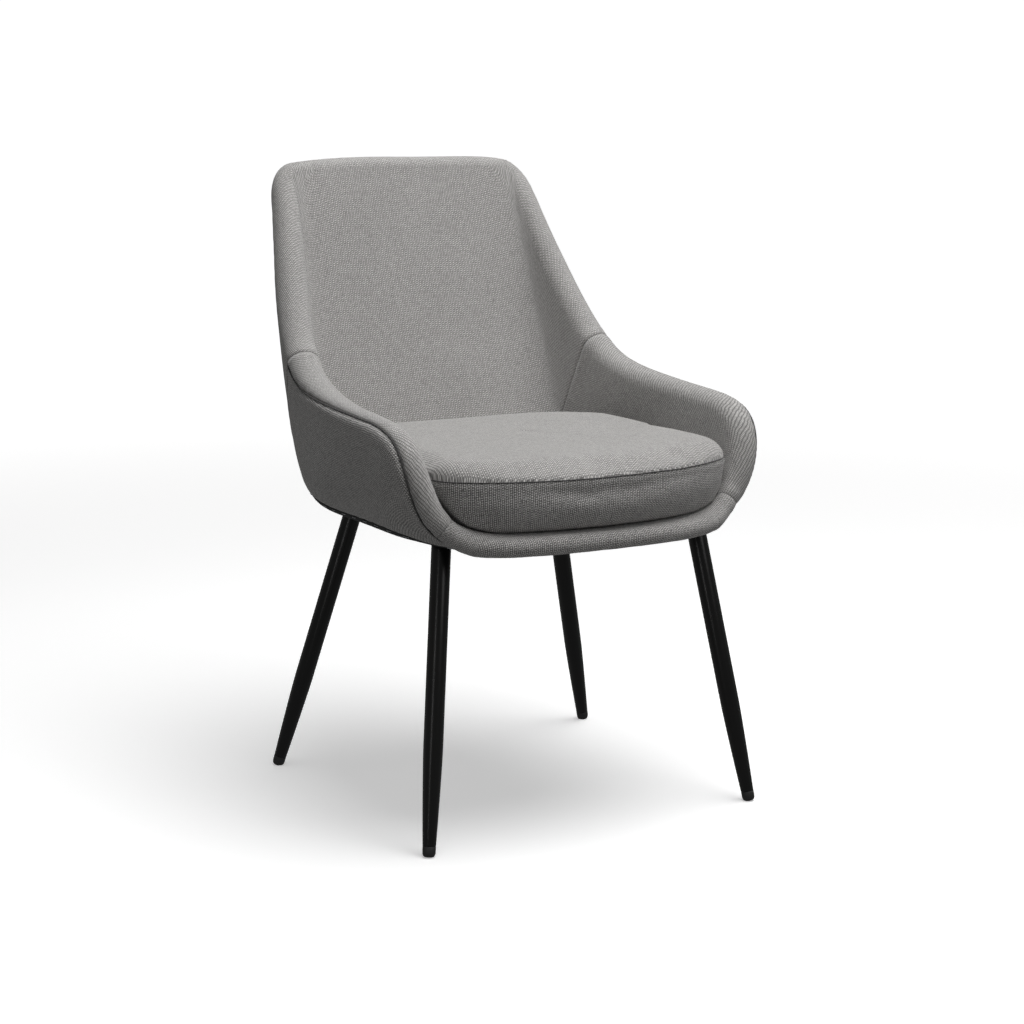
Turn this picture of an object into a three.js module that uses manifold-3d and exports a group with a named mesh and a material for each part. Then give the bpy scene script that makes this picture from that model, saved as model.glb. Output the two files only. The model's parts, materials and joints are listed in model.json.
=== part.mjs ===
// Upholstered dining chair: a one-piece looking bucket shell with low arms, a loose-filled seat
// cushion and four splayed round steel legs. Millimetres, +Z up, the sitter faces -Y.
// The origin is on the floor, under the middle of the chair's bounding box.
import * as THREE from "three";
import { LoftGeometry } from "three/addons/geometries/LoftGeometry.js";
import { mergeVertices } from "three/addons/utils/BufferGeometryUtils.js";
import Module from "manifold-3d";

const wasm = await Module();
wasm.setup();

// ---------------------------------------------------------------- driving dimensions
// The shell is drawn as cross-section stations, from the front lip along the seat and up the
// back. Each gives three guide points of the shell's middle surface and its thickness:
//   spine  [y, z]     on the chair's centre plane
//   fold   [x, y, z]  where the floor or back turns into the arm or wing
//   rim    [x, y, z]  the free edge
//   square            how tightly the section turns at the fold
//   thick             half thickness at the rim
//   core              half thickness near the spine
const STATIONS = [
  { spine: [-300, 384], fold: [134, -289, 383], rim: [182, -268, 388],
    square: 0.8, thick: 12.5, core: 12 },
  { spine: [-281, 386], fold: [173, -241, 386], rim: [205, -251, 406], square: 1.1, thick: 14, core: 12 },
  { spine: [-250, 386], fold: [205, -213, 388], rim: [228, -246, 432], square: 1.6, thick: 18.5, core: 12.5 },
  { spine: [-207, 385], fold: [225, -185, 388], rim: [242, -238, 473], square: 1.9, thick: 20.5, core: 12.5 },
  { spine: [-165, 385], fold: [238, -163, 387], rim: [248, -219, 509], square: 2.3, thick: 21, core: 12.5 },
  { spine: [-89, 386], fold: [239, -88, 388], rim: [250, -169, 519], square: 2.4, thick: 20.5, core: 12.5 },
  { spine: [42, 387], fold: [241, 45, 379], rim: [247, -47, 524], square: 2.5, thick: 20.5, core: 12.5 },
  { spine: [127, 388], fold: [220, 127, 380], rim: [234, 57, 538], square: 2.1, thick: 22.5, core: 14 },
  { spine: [169, 442], fold: [202, 176, 428], rim: [229, 128, 571], square: 1.6, thick: 22.5, core: 17.5 },
  { spine: [210, 557], fold: [199, 219, 538], rim: [211, 198, 657], square: 1.1, thick: 22, core: 19.5 },
  { spine: [270, 735], fold: [173, 267, 738], rim: [187, 266, 783], square: 0.9, thick: 19, core: 18.5 },
  { spine: [294, 824], fold: [152, 290, 821], rim: [181, 289, 814], square: 0.7, thick: 18, core: 18 },
];
const THICKEN = [0.45, 0.85]; // shares of the width over which core changes to thick
const FOLD_PULL = 0.95; // share of the way to the fold point of the section's two handles
const FRONT_CORNER = { run: 1.1, cut: 0.1 }; // rounding of the rim at the lip, in stations and width
const TOP_CORNER = { run: 0.68, cut: 0.22 }; // rounding of the rim at the top corners
const LAST = STATIONS.length - 1;

const FABRIC = 1.5; // cover cloth with its backing
const LINING_CLOTH = 1; // black cloth under the seat
const GAP = 0.3; // clearance kept between touching pieces
const SOFT_GAP = 1.3; // clearance round the foams
const EDGE_GAP = 0.5; // how far a cover stops short of the next one
const SOFT_EDGE = 1.6; // the same for the foams and boards
const BOARD = 3; // half thickness of the moulded plywood
const STRAP = 2.2; // steel strap thickness
const ROLL_WIDTH = 13.5; // how far the rim's foam roll reaches in from the rim line
const ROLL_STEP = 30; // turn of each facet of the foam round the rolled rim, degrees
const ROLL_INNER = 5; // facets of the inner cover round the rim
const ROLL_OUTER = 2; // facets of the outer cover round the rim
const ROLL_INSET = 1.6; // clearances kept under the cover by the rim's foam
const SEAM_STEP = 1.5; // turn kept between the two covers' edges there, degrees
const PAN_WIDTH = 0.64; // share of the section taken by the seat pan between the arm panels
const PAN_HELD = 0.8; // the most of the held width that the pan takes, where the shell narrows
const CORNER_REACH = 0.17; // stations either side that keep the held edge inside a rounded corner

// Where the inner and outer covers meet on the rolled rim: [station, angle in degrees]. The angle
// is 90 on the sitter's side and -90 on the outer side; the seam climbs over the arm's shoulder.
const SEAM = [[0, -88], [1.15, -85], [1.8, -76], [2.25, -65], [2.7, -57], [3.1, -50], [3.4, -45],
  [3.75, -40], [4.1, -37], [4.9, -37], [5.2, -42], [5.65, -48], [6.1, -56], [6.55, -67], [7.2, -84],
  [7.7, -88], [11, -88]];

// The pieces are cut from one lattice on the shell: rows along it, columns across it.
const ROWS = [0, 0.08, 0.32, 0.68, 1.1, 1.6, 2.1, 2.7, 3.5, 4.8, 6.2, 6.8, 7.2, 7.55, 7.9,
  8.5, 9.3, 10.32, 10.58, 10.8, 10.95, 11];
const PAN_COLUMNS = 3; // columns from the spine to the edge of the pan
const ARM_COLUMNS = 3; // columns from there to the rim's foam roll
const RIM = PAN_COLUMNS + ARM_COLUMNS + 1;
const HELD = RIM - 1;
const row = (t) => ROWS.indexOf(t);
const LIP_ROW = row(1.1); // the lip ends and the seat and arm panels begin
const BEND_ROW = row(7.2); // the flat underside ends and the rear bend begins
const BACK_ROW = row(7.9); // the seat and arm panels meet the back
const TOP_ROW = row(10.8); // the boards and foams of the back end
const LAST_ROW = ROWS.length - 1;

const LEG = {
  radius: 12.5, footRadius: 8.5, taper: 125, wall: 1.5,
  feet: [[240, -271], [249.5, 185]], // floor points of the front and rear legs
  lean: [[-58.4, 71.6], [-104.8, -77]], // how far each leg leans in over 420 mm of height
  leanOver: 420,
  anchor: [390.3, 395.2], // heights where the legs' axes meet the shell's middle surface
  shoulder: [7.8, 12.2], // how far below that the tubes end
};
const STUD = { radius: 5, rise: 8.5 };
const NUT = { radius: 10.5, height: 5.6, flange: 1.8, barrel: 0.78, rise: 1 };
const GLIDE = { height: 13, stem: 18, bevel: 1.5, edge: 4 };
const PLUG_DEPTH = 22; // length of the threaded plug in the leg's top
const HOLES = { leg: 0.8, stud: 0.5, nut: 1.5, low: 340, high: 440 }; // clearances and heights

const GRIP = { size: [60, 120, 1.4], at: [90, -90], drop: 1.2 };
const CUSHION = { centre: -75, base: 404.6, seam: 465.6, crown: 489.5, cloth: 1.4 };

// ---------------------------------------------------------------- finishes
const finish = (color, roughness, metalness = 0) =>
  new THREE.MeshStandardMaterial({ color, roughness, metalness });
const CLOTH = finish(0x8c8b89, 0.95);
const LINING = finish(0x1c1c1d, 0.95);
const FOAM = finish(0xd8cfae, 0.9);
const WOOD = finish(0xb89468, 0.7);
const STEEL = finish(0x8f9296, 0.4, 0.9);
const PAINT = finish(0x131312, 0.42, 0.3);
const PLASTIC = finish(0x0e0e0f, 0.55);

const chair = new THREE.Group();

// ---------------------------------------------------------------- helpers
const V = (x, y, z) => new THREE.Vector3(x, y, z);
const mix = THREE.MathUtils.lerp;
const clamp = THREE.MathUtils.clamp;
const smooth = THREE.MathUtils.smoothstep;

// One closed body: corners shared, collapsed faces dropped, faces turned outward.
function closed(geometry) {
  const bare = new THREE.BufferGeometry();
  bare.setAttribute("position", geometry.getAttribute("position"));
  if (geometry.index) bare.setIndex(geometry.index);
  const merged = mergeVertices(bare, 2e-3);
  const index = Array.from(merged.index.array);
  const kept = [];
  for (let i = 0; i < index.length; i += 3) {
    const [a, b, c] = index.slice(i, i + 3);
    if (a !== b && b !== c && a !== c) kept.push(a, b, c);
  }
  const p = merged.getAttribute("position");
  const corner = (k) => V(p.getX(k), p.getY(k), p.getZ(k));
  let volume = 0;
  for (let i = 0; i < kept.length; i += 3)
    volume += corner(kept[i]).dot(corner(kept[i + 1]).cross(corner(kept[i + 2])));
  if (volume < 0) kept.reverse();
  merged.setIndex(kept);
  return merged;
}

function toSolid(geometry) {
  return new wasm.Manifold(new wasm.Mesh({
    numProp: 3,
    vertProperties: geometry.getAttribute("position").array,
    triVerts: new Uint32Array(geometry.index.array),
  }));
}

function fromSolid(solid) {
  const mesh = solid.getMesh();
  const geometry = new THREE.BufferGeometry();
  geometry.setAttribute("position", new THREE.BufferAttribute(mesh.vertProperties, 3));
  geometry.setIndex(Array.from(mesh.triVerts));
  return geometry;
}

// Cuts a list of closed tools out of a closed body.
function cut(geometry, tools) {
  let solid = toSolid(geometry);
  for (const tool of tools) solid = solid.subtract(toSolid(tool));
  return fromSolid(solid);
}

function add(name, geometry, material) {
  const mesh = new THREE.Mesh(geometry, material);
  mesh.name = name;
  chair.add(mesh);
}

// ---------------------------------------------------------------- the shell's middle surface
// Values of one station quantity, blended along the shell by a uniform cubic B-spline.
function blend(t, value) {
  const at = (k) => {
    if (k < 0) return 2 * value(STATIONS[0]) - value(STATIONS[1]);
    if (k > LAST) return 2 * value(STATIONS[LAST]) - value(STATIONS[LAST - 1]);
    return value(STATIONS[k]);
  };
  const i = Math.min(Math.floor(t), LAST - 1);
  const f = t - i;
  return (at(i - 1) * (1 - f) ** 3 + at(i) * (3 * f ** 3 - 6 * f ** 2 + 4)
    + at(i + 1) * (3 * f + 3 * f ** 2 - 3 * f ** 3 + 1) + at(i + 2) * f ** 3) / 6;
}

// Point of the middle surface: u runs from -1 at the left rim to 1 at the right rim, and each
// section is a rational cubic curve spine - fold - fold - rim.
function middle(u, t) {
  const along = clamp(t, 0, LAST);
  const b = (value) => blend(along, value);
  const spine = V(0, b((s) => s.spine[0]), b((s) => s.spine[1]));
  const fold = V(b((s) => s.fold[0]), b((s) => s.fold[1]), b((s) => s.fold[2]));
  const rim = V(b((s) => s.rim[0]), b((s) => s.rim[1]), b((s) => s.rim[2]));
  const square = b((s) => s.square);
  const w = Math.abs(u);
  const weights = [(1 - w) ** 3, 3 * (1 - w) ** 2 * w * square, 3 * (1 - w) * w * w * square, w ** 3];
  const handles = [spine, V(fold.x * FOLD_PULL, spine.y, spine.z), rim.clone().lerp(fold, FOLD_PULL), rim];
  const point = V(0, 0, 0);
  handles.forEach((handle, k) => point.addScaledVector(handle, weights[k]));
  point.divideScalar(weights.reduce((sum, value) => sum + value, 0));
  if (u < 0) point.x = -point.x;
  return point;
}

const halfThickness = (u, t) =>
  mix(blend(clamp(t, 0, LAST), (s) => s.core), blend(clamp(t, 0, LAST), (s) => s.thick),
    smooth(Math.abs(u), ...THICKEN));

const STEP = 2e-3;
const acrossAt = (u, t) => middle(u + STEP, t).sub(middle(u - STEP, t)).divideScalar(2 * STEP);
function normal(u, t) {
  const high = Math.min(t + STEP, LAST);
  const low = Math.max(t - STEP, 0);
  return acrossAt(u, t).cross(middle(u, high).sub(middle(u, low))).normalize();
}

// Half width of the shell at t, with its corners rounded.
function rimAt(t) {
  const front = clamp(1 - t / FRONT_CORNER.run, 0, 1);
  const top = clamp(1 - (LAST - t) / TOP_CORNER.run, 0, 1);
  return 1 - FRONT_CORNER.cut * (1 - Math.sqrt(1 - front * front))
    - TOP_CORNER.cut * (1 - Math.sqrt(1 - top * top));
}

// The same, held in from the rim by a distance in millimetres.
const insideAt = (t, distance) =>
  Math.min(rimAt(clamp(t - CORNER_REACH, 0, LAST)), rimAt(clamp(t + CORNER_REACH, 0, LAST)))
  - distance / acrossAt(rimAt(t), t).length();

// Unit vector in the surface, pointing out over the free edge.
function outward(u, t) {
  const onSide = Math.abs(Math.abs(u) - rimAt(t)) < 1e-6;
  const sign = u < 0 ? -1 : 1;
  const high = Math.min(t + STEP, LAST);
  const low = Math.max(t - STEP, 0);
  const along = onSide
    ? middle(sign * rimAt(high), high).sub(middle(sign * rimAt(low), low))
    : acrossAt(u, t);
  const out = along.cross(normal(u, t)).normalize();
  const inner = middle(u * 0.7, mix(t, LAST / 2, 0.25));
  return out.dot(middle(u, t).sub(inner)) < 0 ? out.negate() : out;
}

// ---------------------------------------------------------------- the lattice
// Column j counts out from the spine, negative on the left.
function columnAt(j, t) {
  const k = Math.abs(j);
  const held = insideAt(t, ROLL_WIDTH);
  const pan = Math.min(PAN_WIDTH, held * PAN_HELD);
  let u = rimAt(t);
  if (k <= PAN_COLUMNS) u = (pan * k) / PAN_COLUMNS;
  else if (k < RIM) u = mix(pan, held, (k - PAN_COLUMNS) / ARM_COLUMNS);
  return j < 0 ? -u : u;
}
function seamAt(t) {
  const k = Math.max(1, SEAM.findIndex(([station]) => station >= t));
  const [[t0, a0], [t1, a1]] = [SEAM[k - 1], SEAM[k]];
  return mix(a0, a1, (t - t0) / (t1 - t0));
}
const lattice = ROWS.map((t) => {
  const places = new Map();
  for (let j = -RIM; j <= RIM; j++) {
    const u = columnAt(j, t);
    const place = { at: middle(u, t), up: normal(u, t), half: halfThickness(u, t), seam: seamAt(t) };
    if (Math.abs(j) === RIM || t === 0 || t === LAST) place.out = outward(u, t);
    places.set(j, place);
  }
  return places;
});

// Lattice place (i, j), moved a little towards place (i2, j2) to leave a gap at a panel's edge.
function placeAt(i, j, i2, j2, gap) {
  const here = lattice[i].get(j);
  if (i === i2 && j === j2) return here;
  const there = lattice[i2].get(j2);
  const share = gap / Math.max(here.at.distanceTo(there.at), 2 * gap);
  return {
    at: here.at.clone().lerp(there.at, share),
    up: here.up.clone().lerp(there.up, share).normalize(),
    half: mix(here.half, there.half, share),
    out: here.out,
    seam: here.seam,
  };
}

// Point at a height over a place, or on the rolled rim at an angle (90 is the sitter's side).
const raised = (place, height) => place.at.clone().addScaledVector(place.up, height);
function rolled(place, angle, radius) {
  const turn = THREE.MathUtils.degToRad(angle);
  const point = raised(place, radius * Math.sin(turn));
  return Math.abs(angle) < 89.9 ? point.addScaledVector(place.out, radius * Math.cos(turn)) : point;
}

// ---------------------------------------------------------------- pieces cut from the shell
// Closed body lofted through rows of matching top and bottom points. Each four-cornered facet is
// split so that the splits of stacked and neighbouring pieces agree and mirror left to right.
function slab(rows) {
  const n = rows[0].length;
  const rings = rows.map((line) =>
    [...line.map((pair) => pair[0]), ...line.map((pair) => pair[1]).reverse()]);
  const edge = (line) => {
    const between = line.map(([a, b]) => a.clone().lerp(b, 0.5));
    return [...between, ...between.slice().reverse()];
  };
  const loft = new LoftGeometry([edge(rows[0]), ...rings, edge(rows[rows.length - 1])]);
  const index = loft.index.array;
  for (let i = 0; i <= rows.length; i++)
    for (let k = 0; k < 2 * n; k++) {
      const at = 6 * (2 * n * i + k);
      const [a, b, d, , c] = index.slice(at, at + 5);
      const position = loft.getAttribute("position");
      const left = position.getX(a) + position.getX(b) + position.getX(c) + position.getX(d) < 0;
      let turn = k === 2 * n - 1 || (k < n - 1 && left) || (k >= n && k < 2 * n - 1 && !left);
      if (i === 0) turn = !left;
      if (i === rows.length) turn = left;
      if (turn) index.set([a, b, c, a, c, d], at);
    }
  return closed(loft);
}

// The lattice places of rows i0 to i1 and columns j0 to j1. Edges that are not on the rim keep a
// gap to the next panel. Past the rim the last place repeats, once for each step of the roll.
function panel({ i0, i1, j0, j1 }, steps, gap, face) {
  const rows = [];
  for (let i = i0 - (i0 === 0 ? steps : 0); i <= i1 + (i1 === LAST_ROW ? steps : 0); i++) {
    const line = [];
    for (let j = j0 - (j0 === -RIM ? steps : 0); j <= j1 + (j1 === RIM ? steps : 0); j++) {
      const [ri, cj] = [clamp(i, i0, i1), clamp(j, j0, j1)];
      const i2 = ri === i0 && i0 > 0 ? ri + 1 : ri === i1 && i1 < LAST_ROW ? ri - 1 : ri;
      const j2 = cj === j0 && j0 > -RIM ? cj + 1 : cj === j1 && j1 < RIM ? cj - 1 : cj;
      const beyond = Math.max(i0 - i, i - i1, j0 - j, j - j1, 0);
      line.push(face(placeAt(ri, cj, i2, j2, gap), beyond));
    }
    rows.push(line);
  }
  return rows;
}

// A layer between two heights measured from the middle surface.
const layer = (range, low, high) => slab(panel(range, 0, SOFT_EDGE,
  (place) => [raised(place, high(place.half)), raised(place, low(place.half))]));

// A cloth cover on one side of the shell (1 is the sitter's side). It rolls over the free edge
// wherever its panel reaches it, and the two sides meet at the seam.
function cover(range, side, thick = FABRIC) {
  const steps = side > 0 ? ROLL_INNER : ROLL_OUTER;
  return slab(panel(range, steps, EDGE_GAP, (place, beyond) => {
    const seam = side > 0 ? place.seam : Math.max(place.seam - SEAM_STEP, -89.5);
    const angle = mix(90 * side, seam, beyond / steps);
    return [rolled(place, angle, place.half), rolled(place, angle, place.half - thick)];
  }).map((line) => (side > 0 ? line : line.map(([out, inn]) => [inn, out]))));
}

// A foam body that fills both sides of the shell between the covers, rounded at the free edge.
function filling(range) {
  const steps = 90 / ROLL_STEP;
  return slab(panel(range, steps, SOFT_EDGE, (place, beyond) => {
    const angle = 90 * (1 - beyond / steps);
    const radius = place.half - FABRIC - ROLL_INSET * SOFT_GAP;
    return [rolled(place, angle, radius), rolled(place, -angle, radius)];
  }));
}

// Openings for the four legs, along each leg's own axis.
const legs = [];
for (const [pair, label] of [[0, "front"], [1, "rear"]])
  for (const [sign, side] of [[-1, "left"], [1, "right"]]) {
    const foot = V(sign * LEG.feet[pair][0], LEG.feet[pair][1], 0);
    const axis = V(sign * LEG.lean[pair][0], LEG.lean[pair][1], LEG.leanOver).normalize();
    const [anchor, shoulder] = [LEG.anchor[pair], LEG.shoulder[pair]];
    legs.push({ name: `${label}_${side}`, foot, axis, anchor, length: (anchor - shoulder) / axis.z });
  }
function rod({ foot, axis }, radius, from, to, segments = 10) {
  const geometry = new THREE.CylinderGeometry(radius, radius, to - from, segments);
  geometry.rotateX(Math.PI / 2);
  geometry.applyQuaternion(new THREE.Quaternion().setFromUnitVectors(V(0, 0, 1), axis));
  const middlePoint = foot.clone().addScaledVector(axis, (from + to) / 2);
  geometry.translate(middlePoint.x, middlePoint.y, middlePoint.z);
  return closed(geometry);
}
const legHoles = legs.map((leg) => rod(leg, LEG.radius + HOLES.leg, HOLES.low, HOLES.high));
const studHoles = legs.map((leg) => rod(leg, STUD.radius + HOLES.stud, HOLES.low, HOLES.high));
const nutHoles = legs.map((leg) =>
  rod(leg, NUT.radius + HOLES.nut, (leg.anchor + 0.4) / leg.axis.z, HOLES.high));

// ---------------------------------------------------------------- boards, straps and foams
const sides = [[-1, "left"], [1, "right"]];
const PAN = { i0: LIP_ROW, i1: BACK_ROW, j0: -PAN_COLUMNS, j1: PAN_COLUMNS };
const BACK = { i0: BACK_ROW, i1: TOP_ROW, j0: -HELD, j1: HELD };
const sideRange = (sign, i0, i1, j0, j1) =>
  (sign < 0 ? { i0, i1, j0: -j1, j1: -j0 } : { i0, i1, j0, j1 });

const board = [() => -BOARD, () => BOARD];
const innerFoam = [() => BOARD + SOFT_GAP, (half) => half - FABRIC - SOFT_GAP];
const outerFoam = [(half) => -(half - FABRIC - SOFT_GAP), () => -BOARD - STRAP - 2 * SOFT_GAP];
const strap = [() => -BOARD - SOFT_GAP - STRAP, () => -BOARD - SOFT_GAP];

add("lip_foam", filling({ i0: 0, i1: LIP_ROW, j0: -RIM, j1: RIM }), FOAM);
add("seat_board", cut(layer(PAN, ...board), [...studHoles, ...nutHoles]), WOOD);
add("seat_pad", cut(layer(PAN, ...innerFoam), nutHoles), FOAM);
add("under_pad", cut(layer(PAN, ...outerFoam), legHoles), FOAM);
add("back_board", layer(BACK, ...board), WOOD);
add("back_foam", layer(BACK, ...innerFoam), FOAM);
add("rear_pad", layer(BACK, ...outerFoam), FOAM);
add("top_roll", filling({ i0: TOP_ROW, i1: LAST_ROW, j0: -RIM, j1: RIM }), FOAM);
for (const [sign, side] of sides) {
  const arm = sideRange(sign, LIP_ROW, BACK_ROW, PAN_COLUMNS, HELD);
  add(`arm_board_${side}`, layer(arm, ...board), WOOD);
  add(`arm_foam_${side}`, layer(arm, ...innerFoam), FOAM);
  add(`side_pad_${side}`, layer(arm, ...outerFoam), FOAM);
  add(`arm_roll_${side}`, filling(sideRange(sign, LIP_ROW, BACK_ROW, HELD, RIM)), FOAM);
  add(`back_roll_${side}`, filling(sideRange(sign, BACK_ROW, TOP_ROW, HELD, RIM)), FOAM);
  // Steel straps hold the boards together on their outer side.
  add(`back_strap_${side}`, layer(sideRange(sign, BACK_ROW - 2, BACK_ROW + 1, 1, 2), ...strap), STEEL);
  const armStrap = (i0, i1) => layer(sideRange(sign, i0, i1, PAN_COLUMNS - 1, PAN_COLUMNS + 1), ...strap);
  add(`arm_strap_front_${side}`, armStrap(row(2.7), row(3.5)), STEEL);
  add(`arm_strap_rear_${side}`, armStrap(row(4.8), row(6.2)), STEEL);
}

// ---------------------------------------------------------------- covers
const FULL = { j0: -RIM, j1: RIM };
add("back_cover", cover({ i0: BACK_ROW, i1: LAST_ROW, ...FULL }, 1), CLOTH);
add("rear_cover", cover({ i0: BACK_ROW, i1: LAST_ROW, ...FULL }, -1), CLOTH);
add("lip_cover", cover({ i0: 0, i1: LIP_ROW, ...FULL }, 1), CLOTH);
add("lip_underside", cover({ ...PAN, i0: 0, i1: LIP_ROW }, -1), CLOTH);
add("pan_cover", cover(PAN, 1), CLOTH);
add("rear_apron", cover({ ...PAN, i0: BEND_ROW }, -1), CLOTH);
add("dust_cover", cut(cover({ ...PAN, i1: BEND_ROW }, -1, LINING_CLOTH), legHoles), LINING);
for (const [sign, side] of sides) {
  add(`arm_cover_${side}`, cover(sideRange(sign, LIP_ROW, BACK_ROW, PAN_COLUMNS, RIM), 1), CLOTH);
  add(`side_cover_${side}`, cover(sideRange(sign, 0, BACK_ROW, PAN_COLUMNS, RIM), -1), CLOTH);
}

// ---------------------------------------------------------------- legs
// A body of revolution about a leg's axis; heights run up the axis from the floor point.
function turned(leg, profile, segments = 12) {
  const geometry = new THREE.LatheGeometry(profile.map(([r, h]) => new THREE.Vector2(r, h)), segments);
  geometry.rotateX(Math.PI / 2);
  geometry.applyQuaternion(new THREE.Quaternion().setFromUnitVectors(V(0, 0, 1), leg.axis));
  geometry.translate(leg.foot.x, leg.foot.y, leg.foot.z);
  return closed(geometry);
}
const bore = (r) => r - LEG.wall;
const floor = new THREE.BoxGeometry(800, 800, 40);
floor.translate(0, 0, -20);
const floorBlock = closed(floor);
for (const leg of legs) {
  const { radius, footRadius, taper } = LEG;
  const { length } = leg;
  const studTop = (leg.anchor + STUD.rise) / leg.axis.z;
  const start = GLIDE.height + GAP;
  add(`leg_${leg.name}`, turned(leg, [
    [footRadius, start], [mix(footRadius, radius, 0.6), start + taper * 0.5], [radius, start + taper],
    [radius, length], [bore(radius), length], [bore(radius), start + taper],
    [bore(mix(footRadius, radius, 0.6)), start + taper * 0.5], [bore(footRadius), start], [footRadius, start],
  ]), PAINT);
  const plug = bore(radius) - GAP;
  add(`leg_plug_${leg.name}`, turned(leg, [
    [0, length - PLUG_DEPTH], [plug, length - PLUG_DEPTH], [plug, length + GAP], [STUD.radius, length + GAP],
    [STUD.radius, studTop], [0, studTop],
  ]), STEEL);
  const nutBase = (leg.anchor + NUT.rise) / leg.axis.z;
  const hole = STUD.radius + GAP;
  add(`leg_nut_${leg.name}`, turned(leg, [
    [hole, nutBase], [NUT.radius, nutBase], [NUT.radius, nutBase + NUT.flange],
    [NUT.radius * NUT.barrel, nutBase + NUT.flange], [NUT.radius * NUT.barrel, nutBase + NUT.height],
    [hole, nutBase + NUT.height], [hole, nutBase],
  ]), STEEL);
  const stem = bore(footRadius) - GAP;
  add(`leg_glide_${leg.name}`, cut(turned(leg, [
    [0, -GLIDE.edge], [footRadius - GLIDE.bevel, -GLIDE.edge], [footRadius, GLIDE.edge],
    [footRadius, GLIDE.height], [stem, GLIDE.height],
    [stem, GLIDE.height + GLIDE.stem], [0, GLIDE.height + GLIDE.stem],
  ]), [floorBlock]), PLASTIC);
}

// ---------------------------------------------------------------- seat cushion
// Plan outline at the top seam: a bowed front, rounded front corners, nearly straight sides and
// a back that follows the shell. The right half as Bezier pieces, front to back.
const half = [
  [[0, -312], [90, -312], [158, -292], [190, -268]],
  [[190, -268], [204, -258], [212, -244], [213.5, -222]],
  [[213.5, -222], [221, -160], [221, -60], [213, 10]],
  [[213, 10], [209, 50], [206, 68], [194, 100]],
  [[194, 100], [172, 152], [90, 150], [0, 151]],
];
const outlineShape = new THREE.Shape();
outlineShape.moveTo(...half[0][0]);
for (const [, a, b, c] of half) outlineShape.bezierCurveTo(...a, ...b, ...c);
for (const [a, b, c] of half.slice().reverse())
  outlineShape.bezierCurveTo(-c[0], c[1], -b[0], b[1], -a[0], a[1]);
const OUTLINE_POINTS = 30;
const outline = outlineShape.getSpacedPoints(OUTLINE_POINTS).slice(0, OUTLINE_POINTS);

// A body whose level rings follow the outline. Each ring is [side, front and rear inset, z]; a
// ring without insets closes on the centre point.
function levelBody(rings) {
  const centre = new THREE.Vector2(0, CUSHION.centre);
  const sections = rings.map(([insets, z]) => outline.map((p) => {
    if (!insets) return V(centre.x, centre.y, z);
    const [side, front, rear] = insets;
    const arm = p.clone().sub(centre);
    const direction = arm.y / arm.length();
    const inset = mix(mix(side, front, smooth(-direction, 0.55, 0.95)), rear, smooth(direction, 0.4, 0.85));
    const at = arm.multiplyScalar(1 - inset / arm.length()).add(centre);
    return V(at.x, at.y, z);
  }));
  return closed(new LoftGeometry(sections));
}
const { base, seam, crown, cloth } = CUSHION;
const deeper = (rings, inset, drop) =>
  rings.map(([insets, z]) => [insets.map((value) => value + inset), z - drop]);
const wall = [[[56, 22, 66], base], [[32, 10, 40], base + 8], [[18, 4, 22], base + 21],
  [[8, 1, 9], base + 41], [[3, 0, 3], seam - 2]];
const wallInner = deeper(wall, cloth, 0);
const dome = [[[3.5, 1, 3.5], seam], [[9, 6, 9], seam + 9], [[24, 21, 24], seam + 16],
  [[60, 58, 60], seam + 21.5], [[120, 120, 120], crown - 0.6]];
const underDome = deeper(dome, 1, cloth);
add("cushion_boxing", levelBody([...wall, ...wallInner.slice().reverse(), wall[0]]), CLOTH);
add("cushion_top", levelBody([[null, crown - cloth], ...underDome.slice().reverse(), ...dome,
  [null, crown]]), CLOTH);
const baseInsets = wall[0][0].map((value) => value + cloth + GAP);
add("cushion_base", levelBody([[null, base], [baseInsets, base], [baseInsets, base + 1], [null, base + 1]]),
  LINING);
add("cushion_core", levelBody([[null, base + 1.5], [baseInsets.map((value) => value + 1), base + 1.5],
  ...deeper(wallInner.slice(1, -1), SOFT_GAP + 1, 0), [[8, 5, 8], seam - 4], ...deeper(dome, 3, cloth + 0.8),
  [null, crown - cloth - 0.8]]), FOAM);

// Hook-and-loop pads that keep the cushion on the pan.
for (const [sign, side] of sides) {
  const pad = new THREE.BoxGeometry(...GRIP.size);
  pad.translate(sign * GRIP.at[0], GRIP.at[1], base - GRIP.drop);
  add(`cushion_grip_${side}`, closed(pad), LINING);
}

export default chair;
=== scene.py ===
"""Upholstered dining chair: fine covers, seat cushion, seams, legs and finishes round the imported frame."""

import json
import math

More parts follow.
